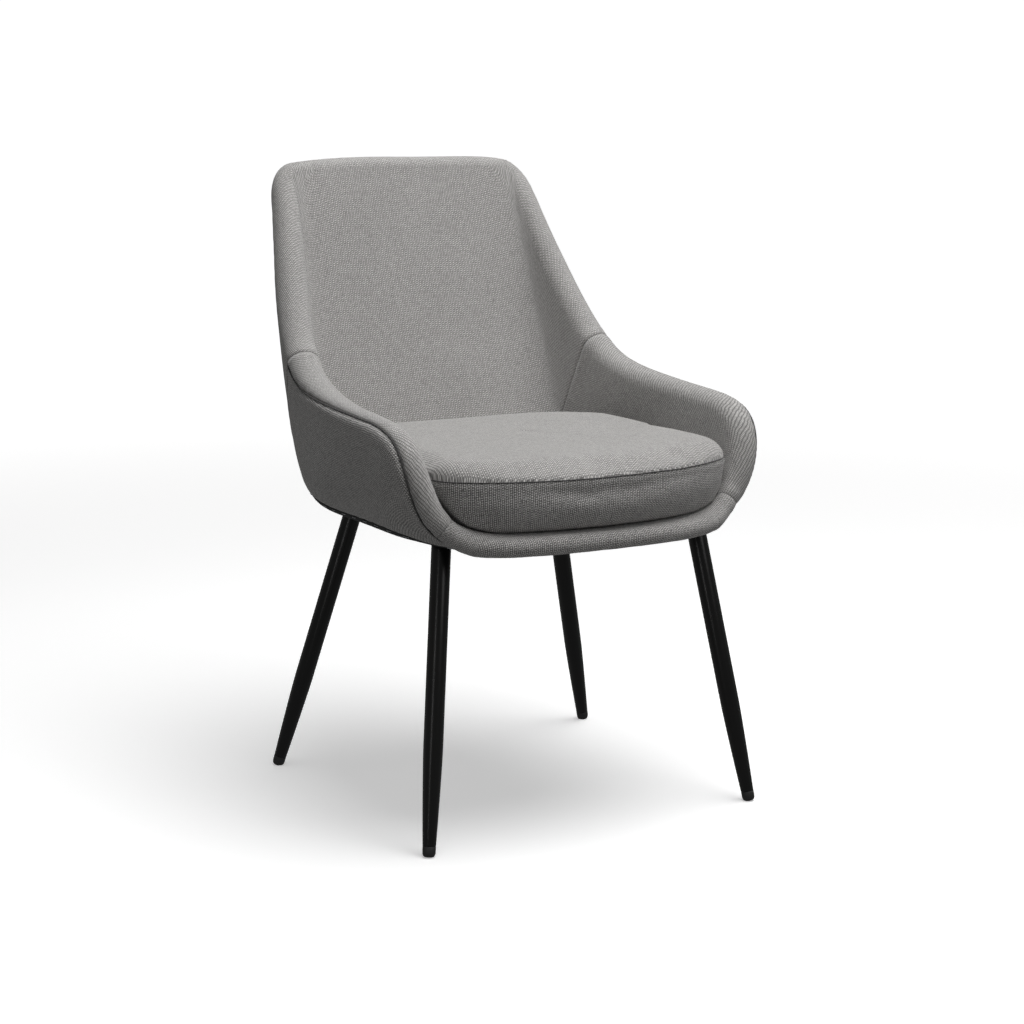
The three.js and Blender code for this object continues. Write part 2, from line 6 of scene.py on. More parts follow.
import bmesh
import bpy
import numpy as np
from bpy.props import FloatProperty, FloatVectorProperty, IntProperty, PointerProperty
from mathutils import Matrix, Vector


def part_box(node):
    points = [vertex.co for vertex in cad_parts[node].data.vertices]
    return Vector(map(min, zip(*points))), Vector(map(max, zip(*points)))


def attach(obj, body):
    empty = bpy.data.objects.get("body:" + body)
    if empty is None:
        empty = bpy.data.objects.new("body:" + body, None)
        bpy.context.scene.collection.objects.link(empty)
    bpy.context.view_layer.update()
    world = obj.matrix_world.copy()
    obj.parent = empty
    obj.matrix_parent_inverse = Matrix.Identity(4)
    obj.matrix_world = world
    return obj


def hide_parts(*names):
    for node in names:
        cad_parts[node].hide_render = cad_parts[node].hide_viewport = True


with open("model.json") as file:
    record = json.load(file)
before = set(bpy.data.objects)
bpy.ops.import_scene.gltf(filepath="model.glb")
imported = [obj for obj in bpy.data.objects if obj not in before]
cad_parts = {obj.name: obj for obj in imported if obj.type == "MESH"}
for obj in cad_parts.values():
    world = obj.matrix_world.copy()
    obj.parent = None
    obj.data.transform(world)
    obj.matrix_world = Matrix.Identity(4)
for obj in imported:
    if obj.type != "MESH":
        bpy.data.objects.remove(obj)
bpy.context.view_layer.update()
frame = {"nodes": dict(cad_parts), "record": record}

bl_info = {
    "name": "Upholstered dining chair",
    "version": (1, 0, 0),
    "blender": (4, 5, 0),
    "location": "View3D > Sidebar > Chair",
    "description": "Builds the covers, cushion, seams, legs and studio of a dining chair",
    "category": "Add Mesh",
}

MM = 0.001
BODY = "root"
SIDES = ((-1, "left"), (1, "right"))
CORNERS = (("front", "left"), ("front", "right"), ("rear", "left"), ("rear", "right"))

# ---------------------------------------------------------------- the shell's middle surface
# Stations from the front lip along the seat and up the back, in millimetres: spine y, z;
# fold x, y, z; rim x, y, z; squareness at the fold; half thickness at the rim and near the spine.
STATIONS = np.array([
    (-300, 384, 134, -289, 383, 182, -268, 388, 0.8, 12.5, 12),
    (-281, 386, 173, -241, 386, 205, -251, 406, 1.1, 14, 12),
    (-250, 386, 205, -213, 388, 228, -246, 432, 1.6, 18.5, 12.5),
    (-207, 385, 225, -185, 388, 242, -238, 473, 1.9, 20.5, 12.5),
    (-165, 385, 238, -163, 387, 248, -219, 509, 2.3, 21, 12.5),
    (-89, 386, 239, -88, 388, 250, -169, 519, 2.4, 20.5, 12.5),
    (42, 387, 241, 45, 379, 247, -47, 524, 2.5, 20.5, 12.5),
    (127, 388, 220, 127, 380, 234, 57, 538, 2.1, 22.5, 14),
    (169, 442, 202, 176, 428, 229, 128, 571, 1.6, 22.5, 17.5),
    (210, 557, 199, 219, 538, 211, 198, 657, 1.1, 22, 19.5),
    (270, 735, 173, 267, 738, 187, 266, 783, 0.9, 19, 18.5),
    (294, 824, 152, 290, 821, 181, 289, 814, 0.7, 18, 18),
], float)
LAST = len(STATIONS) - 1
FOLD_PULL = 0.95
FRONT_RUN, FRONT_CUT = 1.1, 0.1  # rounding of the rim at the lip: stations, share of the width
TOP_RUN, TOP_CUT = 0.68, 0.22  # the same at the top corners
LIP_END, BEND, BACK_START = 1.1, 7.2, 7.9  # where the covers meet along the shell
PAN_SHARE = 0.64  # share of the section taken by the seat pan
DELTA = 2e-3  # step of the surface's finite differences
THICKEN = (0.45, 0.85)  # shares of the width over which the half thickness grows to the rim's
STATION_RUN = 75 * MM  # about the length of one station
BRIDGED_RADIUS = 130 * MM  # the tightest hollow that the cloth follows


def smoothstep(x, low, high):
    """3g^2 - 2g^3 of the share g of the way from low to high, kept from 0 to 1."""
    g = np.clip((x - low) / (high - low), 0, 1)
    return g * g * (3 - 2 * g)


def stations_at(t):
    """Station values at t by a uniform cubic B-spline whose end points are extrapolated by reflection."""
    t = np.clip(np.asarray(t, float), 0, LAST)
    points = np.vstack([2 * STATIONS[0] - STATIONS[1], STATIONS, 2 * STATIONS[-1] - STATIONS[-2]])
    i = np.minimum(t.astype(int), LAST - 1)
    f = (t - i)[..., None]
    return ((1 - f) ** 3 * points[i] + (3 * f**3 - 6 * f**2 + 4) * points[i + 1]
            + (1 + 3 * f + 3 * f**2 - 3 * f**3) * points[i + 2] + f**3 * points[i + 3]) / 6


def middle(u, t):
    """Rational cubic across the shell, w = |u|: (1-w)^3 spine, 3(1-w)^2 w q and 3(1-w)w^2 q fold,
    w^3 rim."""
    s = stations_at(t)
    w = np.abs(u)[..., None]
    sy, sz, fx, fy, fz, rx, ry, rz, square = np.moveaxis(s[..., :9], -1, 0)
    spine = np.stack([0 * sy, sy, sz], -1)
    fold = np.stack([fx, fy, fz], -1)
    rim = np.stack([rx, ry, rz], -1)
    near = np.stack([fx * FOLD_PULL, sy, sz], -1)
    far = rim + FOLD_PULL * (fold - rim)
    q = square[..., None]
    weights = ((1 - w) ** 3, 3 * (1 - w) ** 2 * w * q, 3 * (1 - w) * w**2 * q, w**3)
    point = sum(a * b for a, b in zip(weights, (spine, near, far, rim))) / sum(weights)
    point[..., 0] *= np.where(u < 0, -1, 1)
    return point * MM


def half_thickness(u, t):
    """Core to rim half thickness, blended by a smoothstep of |u| from 0.45 to 0.85."""
    s = stations_at(t)
    return (s[..., 10] + (s[..., 9] - s[..., 10]) * smoothstep(np.abs(u), *THICKEN)) * MM


def rim_at(t):
    """Half width: 1 less a quarter-ellipse cut at the front and at the top."""
    front = np.clip(1 - t / FRONT_RUN, 0, 1)
    top = np.clip(1 - (LAST - t) / TOP_RUN, 0, 1)
    return 1 - FRONT_CUT * (1 - np.sqrt(1 - front**2)) - TOP_CUT * (1 - np.sqrt(1 - top**2))


def unit(v):
    """Vectors divided by their length."""
    return v / np.maximum(np.linalg.norm(v, axis=-1, keepdims=True), 1e-12)


def normal(u, t):
    """Cross product of the across and along tangents: it points to the sitter's side."""
    across = middle(u + DELTA, t) - middle(u - DELTA, t)
    along = middle(u, np.clip(t + DELTA, 0, LAST)) - middle(u, np.clip(t - DELTA, 0, LAST))
    return unit(np.cross(across, along))


def outward(u, t, on_side):
    """Edge tangent crossed with the normal, turned to point away from the shell's middle."""
    sign = np.where(u < 0, -1.0, 1.0)
    high, low = np.clip(t + DELTA, 0, LAST), np.clip(t - DELTA, 0, LAST)
    side = middle(sign * rim_at(high), high) - middle(sign * rim_at(low), low)
    across = middle(u + DELTA, t) - middle(u - DELTA, t)
    out = unit(np.cross(np.where(on_side[..., None], side, across), normal(u, t)))
    away = middle(u, t) - middle(u * 0.7, t + (LAST / 2 - t) * 0.25)
    return out * np.where((out * away).sum(-1, keepdims=True) < 0, -1, 1)


# ---------------------------------------------------------------- meshes
def grid_faces(rows, columns, wrap=False):
    """Corner indices of each cell of a rows by columns grid; wrap joins the last column to the first."""
    i, j = np.meshgrid(np.arange(rows - 1), np.arange(columns - (0 if wrap else 1)), indexing="ij")
    k = (j + 1) % columns
    return np.stack([i * columns + j, i * columns + k, (i + 1) * columns + k, (i + 1) * columns + j],
                    -1).reshape(-1, 4)


def make_mesh(name, points, faces, uv=None, material=None):
    """A mesh object at the origin from point and quad arrays, with one UV per point; tidy."""
    mesh = bpy.data.meshes.new(name)
    faces = np.asarray(faces, np.int32)
    mesh.from_pydata(np.asarray(points, float).tolist(), [], faces.tolist())
    if uv is not None:
        layer = mesh.uv_layers.new(name="cloth")
        loops = np.empty(len(mesh.loops), np.int32)
        mesh.loops.foreach_get("vertex_index", loops)
        layer.data.foreach_set("uv", np.asarray(uv, np.float32)[loops].ravel())
    mesh.polygons.foreach_set("use_smooth", np.ones(len(mesh.polygons), bool))
    mesh.validate()
    piece = bpy.data.objects.new(name, mesh)
    bpy.context.scene.collection.objects.link(piece)
    if material:
        mesh.materials.append(material)
    return piece


def points_of(mesh):
    """The mesh's vertices as an array of three columns."""
    co = np.empty(len(mesh.vertices) * 3, np.float32)
    mesh.vertices.foreach_get("co", co)
    return co.reshape(-1, 3)


def weld(piece, distance=2e-5):
    """Merges doubled points, drops the collapsed faces and turns the faces outward."""
    work = bmesh.new()
    work.from_mesh(piece.data)
    bmesh.ops.remove_doubles(work, verts=work.verts, dist=distance)
    bmesh.ops.dissolve_degenerate(work, edges=work.edges, dist=distance / 4)
    bmesh.ops.recalc_face_normals(work, faces=work.faces)
    if work.calc_volume() < 0:
        bmesh.ops.reverse_faces(work, faces=work.faces)
    work.to_mesh(piece.data)
    work.free()
    return piece


def lengths(points, axis):
    """Running arc length along one axis of a point grid."""
    step = np.linalg.norm(np.diff(points, axis=axis), axis=-1)
    zero = np.zeros_like(np.take(step, [0], axis=axis))
    return np.concatenate([zero, np.cumsum(step, axis=axis)], axis=axis)


def spaced(low, high, run_low, run_high, step):
    """Values from low to high: arc-spaced over each rounded end run, evenly between."""
    quarter = 1 - np.cos(np.linspace(0, np.pi / 2, 13))
    parts = []
    if run_low:
        parts.append(low + run_low * quarter)
    start, stop = low + run_low, high - run_high
    parts.append(np.linspace(start, stop, max(2, int(round((stop - start) / step)) + 1)))
    if run_high:
        parts.append(high - run_high * quarter[::-1])
    return np.unique(np.round(np.concatenate(parts), 9))


def wander(a, b, scale, seed):
    """A smooth random-looking field: a sum of six fixed sine waves of about the given wavelength."""
    rng = np.random.default_rng(seed)
    total = 0
    for _ in range(6):
        angle, phase = rng.uniform(0, 2 * np.pi, 2)
        k = 2 * np.pi / (scale * rng.uniform(0.7, 1.5))
        total = total + np.sin(k * (a * np.cos(angle) + b * np.sin(angle)) + phase)
    return total / 3


def bridged(surface, direction, tightest, rounds=60):
    """Cloth pulled over a hollow: wherever the section bends inward tighter than the given radius, the
    point rises along its own direction by 0.6 of (the neighbours' mean height - h^2 / 2R), repeatedly."""
    surface = surface.copy()
    for _ in range(rounds):
        before, here, after = surface[:, :-2], surface[:, 1:-1], surface[:, 2:]
        h2 = ((after - before) ** 2).sum(-1) / 4
        rise = (((before + after) / 2 - here) * direction[:, 1:-1]).sum(-1) - h2 / (2 * tightest)
        surface[:, 1:-1] += direction[:, 1:-1] * (0.6 * np.maximum(rise, 0))[..., None]
    return surface


class Cover:
    """A cloth cover on one side of the shell, between two stations and two shares of the width.

    Past a free edge the rows or columns repeat the edge place and turn round the rim, from the
    cover's own side to the seam angle: point = rim + half thickness * (out cos a + normal sin a)."""

    TURN = 12  # facets round the rolled rim
    HALF_WIDTH = 0.3  # metres along the section from the spine to the rim, for the mesh spacing
    VALLEY, RIDGE, RIDGE_WIDTH = 3.2 * MM, 9 * MM, 5 * MM  # reach of a seam's groove and its puffed edge

    def __init__(self, t0, t1, c0, c1, side, seam=-60.0, thick=2.0 * MM, step=5.0 * MM,
                 seams="abcd", tuck=1.7 * MM, turned=0.0, lift=0.0, crossing=0.35 * MM,
                 pucker=0.35 * MM):
        ends = FRONT_RUN if t0 == 0 else 0, TOP_RUN if t1 == LAST else 0
        t = spaced(t0, t1, *ends, step / STATION_RUN)
        c = np.linspace(c0, c1, max(3, int(abs(c1 - c0) * self.HALF_WIDTH / step) + 1))
        before = self.TURN if c0 == -1 else 0, self.TURN if t0 == 0 else 0
        after = self.TURN if c1 == 1 else 0, self.TURN if t1 == LAST else 0
        ci = np.arange(-before[0], len(c) + after[0])
        ti = np.arange(-before[1], len(t) + after[1])
        beyond_c = np.maximum(np.maximum(-ci, ci - len(c) + 1), 0)
        beyond_t = np.maximum(np.maximum(-ti, ti - len(t) + 1), 0)
        C, T = np.meshgrid(c[np.clip(ci, 0, len(c) - 1)], t[np.clip(ti, 0, len(t) - 1)])
        beyond = np.maximum(beyond_c[None, :], beyond_t[:, None]) / self.TURN
        U = C * rim_at(T)
        base, up = middle(U, T), normal(U, T)
        out = outward(U, T, np.abs(C) > 1 - 1e-9)
        half = half_thickness(U, T)
        seam_angle = seam(T) if callable(seam) else np.full_like(T, seam)
        angle = np.radians(90 * side + (seam_angle - 90 * side) * beyond)
        facing = np.where((beyond > 0)[..., None], out * np.cos(angle)[..., None], 0)
        self.direction = unit(facing + up * np.sin(angle)[..., None])
        self.direction = np.where((beyond > 0)[..., None], self.direction, up * side)
        surface = bridged(base + self.direction * half[..., None], self.direction, BRIDGED_RADIUS, 120)
        along, across = lengths(surface, 0), lengths(surface, 1)
        spare = {
            "a": along if "a" in seams and t0 > 0 else None,
            "b": along[-1:] - along if "b" in seams and t1 < LAST else None,
            "c": across if "c" in seams and c0 > -1 else None,
            "d": across[:, -1:] - across if "d" in seams and c1 < 1 else None,
        }
        if c0 == -1:
            spare["e"] = across
        if c1 == 1:
            spare["f"] = across[:, -1:] - across
        if t0 == 0:
            spare["g"] = along
        if t1 == LAST:
            spare["h"] = along[-1:] - along
        edge = np.full_like(T, 1.0)
        tucked = np.zeros_like(T)
        for key, value in spare.items():
            if value is not None:
                edge = np.minimum(edge, value)
                depth = crossing if key in "ab" else tuck
                tucked = np.maximum(tucked, depth * np.exp(-((value / self.VALLEY) ** 2)))
        ripple = wander(along, across, 0.02, 3) * np.exp(-edge / 0.009) * pucker
        soft = wander(along, across, 0.16, 7) * 0.8 * MM * np.clip(edge / 0.03, 0, 1)
        puffed = 0.35 * tuck * np.exp(-(((edge - self.RIDGE) / self.RIDGE_WIDTH) ** 2))
        if not seams:
            tucked, ripple, puffed = 0, 0, 0
        self.outer = surface + self.direction * (lift - tucked + puffed + ripple + soft)[..., None]
        self.inner = self.outer - self.direction * thick
        turn = math.radians(turned)
        a, b = across - across.mean(1, keepdims=True), along
        if c0 * c1 < 0:
            a = across - across[:, [across.shape[1] // 2]]
        self.uv = np.stack([a * math.cos(turn) + b * math.sin(turn),
                            b * math.cos(turn) - a * math.sin(turn)], -1)

    def build(self, name, material):
        """A closed body: the outer and inner grids with a strip round their common border."""
        rows, columns = self.outer.shape[:2]
        n = rows * columns
        faces = grid_faces(rows, columns)
        border = np.concatenate([
            np.arange(columns), np.arange(1, rows) * columns + columns - 1,
            (rows - 1) * columns + np.arange(columns - 2, -1, -1), np.arange(rows - 2, 0, -1) * columns])
        nxt = np.roll(border, -1)
        strip = np.stack([border, border + n, nxt + n, nxt], -1)
        points = np.concatenate([self.outer.reshape(-1, 3), self.inner.reshape(-1, 3)])
        uv = np.concatenate([self.uv.reshape(-1, 2)] * 2)
        piece = make_mesh(name, points, np.concatenate([faces, faces[:, ::-1] + n, strip]), uv, material)
        return weld(piece)


def tube(path, radius, sides=10, closed=False):
    """Points and faces of a round tube: rings of the radius in the plane square to the path."""
    ahead = np.roll(path, -1, 0) - np.roll(path, 1, 0)
    if not closed:
        ahead[0], ahead[-1] = path[1] - path[0], path[-1] - path[-2]
    ahead = unit(ahead)
    up = np.zeros_like(path)
    current = unit(np.cross(ahead[0], (0.31, 0.52, 0.79)))
    for k, direction in enumerate(ahead):
        current = unit(current - direction * (current @ direction))
        up[k] = current
    side = np.cross(ahead, up)
    radius = np.broadcast_to(np.asarray(radius, float), (len(path),))[:, None, None]
    turn = np.linspace(0, 2 * np.pi, sides, endpoint=False)[None, :, None]
    points = path[:, None] + radius * (up[:, None] * np.cos(turn) + side[:, None] * np.sin(turn))
    faces = grid_faces(len(path), sides, wrap=True)
    if closed:
        last, first = np.arange(sides) + (len(path) - 1) * sides, np.arange(sides)
        strip = np.stack([last, np.roll(last, -1), np.roll(first, -1), first], -1)
        return points.reshape(-1, 3), np.concatenate([faces, strip])
    ends = np.stack([path[0], path[-1]])
    points = np.concatenate([points.reshape(-1, 3), ends])
    n, k = len(path) * sides, np.arange(sides)
    start = np.stack([np.full(sides, n), (k + 1) % sides, k, k], -1)
    stop = np.stack([np.full(sides, n + 1), n - sides + k, n - sides + (k + 1) % sides,
                     n - sides + (k + 1) % sides], -1)
    return points, [*faces.tolist(), *[f[:3].tolist() for f in start], *[f[:3].tolist() for f in stop]]


def joined(name, parts, material):
    """One object from several (points, faces) parts."""
    points, faces, offset = [], [], 0
    for p, f in parts:
        points.append(np.asarray(p, float))
        faces += [[int(k) + offset for k in face] for face in f]
        offset += len(p)
    mesh = bpy.data.meshes.new(name)
    mesh.from_pydata(np.concatenate(points).tolist(), [], faces)
    mesh.polygons.foreach_set("use_smooth", np.ones(len(mesh.polygons), bool))
    mesh.materials.append(material)
    piece = bpy.data.objects.new(name, mesh)
    bpy.context.scene.collection.objects.link(piece)
    return weld(piece, 1e-6)


def resampled(path, step):
    """Points evenly spaced by arc length along a polyline."""
    s = np.concatenate([[0], np.cumsum(np.linalg.norm(np.diff(path, axis=0), axis=1))])
    at = np.linspace(0, s[-1], max(3, int(round(s[-1] / step)) + 1))
    return np.stack([np.interp(at, s, path[:, k]) for k in range(3)], -1)


def fitted(piece, slot, *nodes):
    """Rides the piece on the chair's one body and hides the nodes it stands for; its slot is not used."""
    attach(piece, BODY)
    if nodes:
        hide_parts(*nodes)
    return piece


# ---------------------------------------------------------------- shader maths
class Wire:
    """A shader socket with arithmetic: each operation adds one Math node."""

    def __init__(self, tree, socket):
        self.tree, self.socket = tree, socket

    def _math(self, operation, *values):
        """The result of one Math node on wires and plain numbers."""
        return self.tree.node("ShaderNodeMath", {"operation": operation}, *values).out()

    def __add__(self, other): return self._math("ADD", self, other)
    def __radd__(self, other): return self._math("ADD", other, self)
    def __sub__(self, other): return self._math("SUBTRACT", self, other)
    def __rsub__(self, other): return self._math("SUBTRACT", other, self)
    def __mul__(self, other): return self._math("MULTIPLY", self, other)
    def __rmul__(self, other): return self._math("MULTIPLY", other, self)
    def __truediv__(self, other): return self._math("DIVIDE", self, other)
    def __pow__(self, other): return self._math("POWER", self, other)
    def __mod__(self, other): return self._math("FLOORED_MODULO", self, other)
    def floor(self): return self._math("FLOOR", self)
    def fract(self): return self._math("FRACT", self)
    def sin(self): return self._math("SINE", self)
    def abs(self): return self._math("ABSOLUTE", self)
    def clamp(self): return self.tree.node("ShaderNodeClamp", {}, self).out()
    def over(self, limit): return self._math("GREATER_THAN", self, limit)
    def between(self, low, high): return self.tree.node(
        "ShaderNodeMapRange", {"interpolation_type": "SMOOTHSTEP"}, self, low, high, 0.0, 1.0).out()


class Finish:
    """A procedural material: node() adds any node from its type, settings and socket values."""

    def __init__(self, name):
        self.material = bpy.data.materials.new(name)
        self.material.use_nodes = True
        self.nodes = self.material.node_tree.nodes
        self.links = self.material.node_tree.links
        self.nodes.clear()
        self.surface = self.nodes.new("ShaderNodeBsdfPrincipled")
        output = self.nodes.new("ShaderNodeOutputMaterial")
        self.links.new(self.surface.outputs[0], output.inputs[0])

    def node(self, kind, settings, *values, **named):
        """Adds a node: its settings first, then its sockets by position and by name."""
        made = self.nodes.new(kind)
        for key, value in settings.items():
            if key == "stops":
                ramp = made.color_ramp
                while len(ramp.elements) < len(value):
                    ramp.elements.new(0.5)
                for element, (position, colour) in zip(ramp.elements, value):
                    element.position, element.color = position, colour
            else:
                setattr(made, key, value)
        for index, value in enumerate(values):
            self.feed(made.inputs[index], value)
        for key, value in named.items():
            self.feed(made.inputs[key.replace("_", " ")], value)
        return NodeOut(self, made)

    def feed(self, socket, value):
        """Links a wire to a socket, or sets a plain value on it."""
        if isinstance(value, Wire):
            self.links.new(value.socket, socket)
        elif value is not None:
            socket.default_value = value

    def set(self, **values):
        """Feeds the surface shader's sockets by name."""
        for key, value in values.items():
            self.feed(self.surface.inputs[key.replace("_", " ")], value)

    def bump(self, height, distance, strength=1.0):
        """Relief of the surface: a height field of a full depth in metres."""
        made = self.node("ShaderNodeBump", {}, Strength=strength, Distance=distance, Height=height)
        self.links.new(made.made.outputs[0], self.surface.inputs["Normal"])

    def noise(self, vector, scale, detail=2.0, roughness=0.5):
        """Fractal noise from 0 to 1."""
        return self.node("ShaderNodeTexNoise", {}, Vector=vector, Scale=scale, Detail=detail,
                         Roughness=roughness).out()

    def mixed(self, factor, a, b):
        """Colour a to b by a factor; the Mix node keeps its colour sockets at 6 and 7, out at 2."""
        blank = (None,) * 5
        return self.node("ShaderNodeMix", {"data_type": "RGBA"}, factor, *blank, a, b).out(2)

    def combined(self, x, y, z=0.0):
        """A vector from three numbers."""
        return self.node("ShaderNodeCombineXYZ", {}, x, y, z).out()

    def uv(self):
        """The two coordinates of the piece's own map, in metres."""
        source = self.node("ShaderNodeUVMap", {"uv_map": "cloth"}).out()
        split = self.node("ShaderNodeSeparateXYZ", {}, source)
        return split.out(0), split.out(1)

    def place(self):
        """Object coordinates, in metres."""
        return self.node("ShaderNodeTexCoord", {}).out("Object")


class NodeOut:
    """A made node, with its outputs as wires."""

    def __init__(self, tree, made):
        self.tree, self.made = tree, made

    def out(self, index=0):
        """One output by its number or name."""
        return Wire(self.tree, self.made.outputs[index])


def rgb(colour, gain=1.0):
    """A colour times a gain, with full alpha."""
    return (colour[0] * gain, colour[1] * gain, colour[2] * gain, 1.0)


def woven(name, colour, pitch, rib, heather=0.16, relief=0.22 * MM, depth=1.0):
    """Plain weave: cells of one thread width, warp over weft where the cell numbers' sum is even.

    Height is a thread's round profile across it and a gentle hump along it. Each thread and each cell takes
    its own shade, and slubs lighten short lengths of thread. The colour is also darker where the height is
    low: painted shade in the hollows between threads, which depth makes stronger together with the warp and
    row contrast."""
    f = Finish(name)
    u, v = f.uv()
    bend_u = f.noise(f.combined(u, v), 70.0, 1.0) - 0.5
    bend_v = f.noise(f.combined(v, u, 0.7), 70.0, 1.0) - 0.5
    x, y = u / pitch + bend_u * 0.9, v / rib + bend_v * 0.9
    ix, iy, fx, fy = x.floor(), y.floor(), x.fract(), y.fract()
    over = ((ix + iy) % 2.0).over(0.5)
    across = fx * over + fy * (1 - over)
    along = fy * over + fx * (1 - over)
    round_off = 1 - (across * 2 - 1).abs() ** 2.4
    hump = (along * math.pi).sin()
    height = round_off * (0.3 + 0.7 * hump)
    row = iy % 2.0
    thread = ix * over + iy * (1 - over)
    run = y * over + x * (1 - over)
    slub = f.noise(f.combined(thread * 3.71, run * 0.16, over * 9.0), 1.0, 2.0, 0.6)
    cell = f.node("ShaderNodeTexWhiteNoise", {"noise_dimensions": "3D"},
                  f.combined(ix, iy, 1.5)).out()
    fuzz = f.noise(f.combined(u, v, 0.2), 2600.0, 2.0, 0.7)
    cloudy = f.noise(f.combined(u, v, 4.0), 14.0, 2.0, 0.5)
    shade = (1 + (slub - 0.5) * (heather * 4.2) + (cell - 0.5) * heather * 1.6
             + (fuzz - 0.5) * heather * 1.6 + (cloudy - 0.5) * 0.10)
    # painted shade: the colour is darker where the thread's height is low, in the hollows between threads,
    # scaled by depth
    hollow_shade = 1.35 * depth
    shade = (shade * (0.795 - 0.44 * hollow_shade + hollow_shade * height) * (0.99 - 0.21 * depth + 0.42 * depth * over)
             * (1 - 0.14 * depth + 0.28 * depth * row))
    low, high = rgb(colour, 0.0), rgb(colour, 2.0)
    f.set(Base_Color=f.mixed((shade * 0.5).clamp(), low, high), Roughness=(0.93 - 0.08 * slub),
          Sheen_Weight=0.25, Sheen_Roughness=0.55, Specular_IOR_Level=0.25)
    f.surface.inputs["Sheen Tint"].default_value = rgb((0.9, 0.9, 0.9))
    f.bump(height * 0.8 + fuzz * 0.35, relief, 0.9)
    return f.material


def powder_coat(name, colour):
    """Satin black coat: fine orange peel, faint mottling and slight rubbing."""
    f = Finish(name)
    at = f.place()
    peel = f.noise(at, 900.0, 2.0, 0.5)
    mottle = f.noise(at, 60.0, 3.0, 0.6)
    f.set(Base_Color=f.mixed(mottle, rgb(colour, 0.75), rgb(colour, 1.35)),
          Roughness=0.24 + 0.05 * mottle, Specular_IOR_Level=0.34)
    f.bump(peel, 0.02 * MM, 0.35)
    return f.material


def moulded(name, colour):
    """Moulded plastic: fine grain and scuffed patches."""
    f = Finish(name)
    at = f.place()
    grain, scuff = f.noise(at, 1500.0, 2.0), f.noise(at, 220.0, 4.0, 0.7)
    f.set(Base_Color=f.mixed(scuff, rgb(colour, 0.8), rgb(colour, 1.8)), Roughness=0.45 + 0.25 * scuff)
    f.bump(grain, 0.06 * MM, 0.6)
    return f.material


def open_foam(name, colour):
    """Foam: small round cells and a little yellowing."""
    f = Finish(name)
    at = f.place()
    cells = f.node("ShaderNodeTexVoronoi", {"feature": "F1"}, Vector=at, Scale=450.0).out("Distance")
    age = f.noise(at, 9.0, 3.0)
    f.set(Base_Color=f.mixed(age, rgb(colour, 0.85), rgb(colour, 1.05)), Roughness=0.9)
    f.bump(cells, 0.8 * MM, 0.8)
    return f.material


def plywood(name, colour):
    """Moulded plywood: grain lines stretched along the board and darker rings."""
    f = Finish(name)
    split = f.node("ShaderNodeSeparateXYZ", {}, f.place())
    stretched = f.combined(split.out(0) * 40.0, split.out(1) * 2.0, split.out(2) * 2.0)
    grain = f.noise(stretched, 6.0, 5.0, 0.65)
    rings = ((split.out(0) * 55.0 + grain * 5.0).sin() + 1) * 0.5
    f.set(Base_Color=f.mixed((grain * 0.6 + rings * 0.4).clamp(), rgb(colour, 0.72), rgb(colour, 1.1)),
          Roughness=0.62 + 0.1 * grain)
    f.bump(grain, 0.2 * MM, 0.5)
    return f.material


def zinc(name, colour):
    """Zinc-plated steel: fine streaks and cloudy dulling."""
    f = Finish(name)
    split = f.node("ShaderNodeSeparateXYZ", {}, f.place())
    streak = f.noise(f.combined(split.out(0) * 300.0, split.out(1) * 300.0, split.out(2) * 20.0), 2.0, 3.0)
    dull = f.noise(f.place(), 80.0, 4.0)
    f.set(Base_Color=f.mixed(dull, rgb(colour, 0.8), rgb(colour, 1.1)), Metallic=1.0,
          Roughness=0.3 + 0.25 * streak)
    f.bump(streak, 0.04 * MM, 0.5)
    return f.material


def lining(name, colour):
    """Non-woven lining: pressed fibres and a grid of small bonding dots."""
    f = Finish(name)
    at = f.place()
    split = f.node("ShaderNodeSeparateXYZ", {}, at)
    x, y = split.out(0) / (1.6 * MM), split.out(1) / (1.6 * MM)
    dots = ((x * math.pi).sin() * (y * math.pi).sin()).abs() ** 3.0
    fibres = f.noise(at, 1400.0, 4.0, 0.7)
    f.set(Base_Color=f.mixed((fibres * 0.7 + dots * 0.3).clamp(), rgb(colour, 0.6), rgb(colour, 1.9)),
          Roughness=0.85 - 0.15 * dots)
    f.bump(fibres - dots * 0.6, 0.3 * MM, 0.7)
    return f.material


def studio_floor(name, colour):
    """Matt painted floor with a barely visible unevenness. It glows with painted light that is weaker near
    the chair and full white from 4.5 m out.
    """
    f = Finish(name)
    at = f.place()
    patch = f.noise(at, 1.3, 2.0)
    # painted light: the floor glows at strength 0.85, and its emission colour rises from 0.45 within 1 m of
    # the middle to white past 4.5 m
    f.set(Base_Color=f.mixed(patch, rgb(colour, 0.985), rgb(colour, 1.0)), Roughness=0.9,
          Emission_Strength=0.85)
    split = f.node("ShaderNodeSeparateXYZ", {}, at)
    reach = (split.out(0) ** 2.0 + split.out(1) ** 2.0) ** 0.5
    f.set(Emission_Color=f.mixed(reach.between(1.0, 4.5), rgb((0.45, 0.45, 0.45)), rgb((1.0, 1.0, 1.0))))
    return f.material


FINISHES = {}


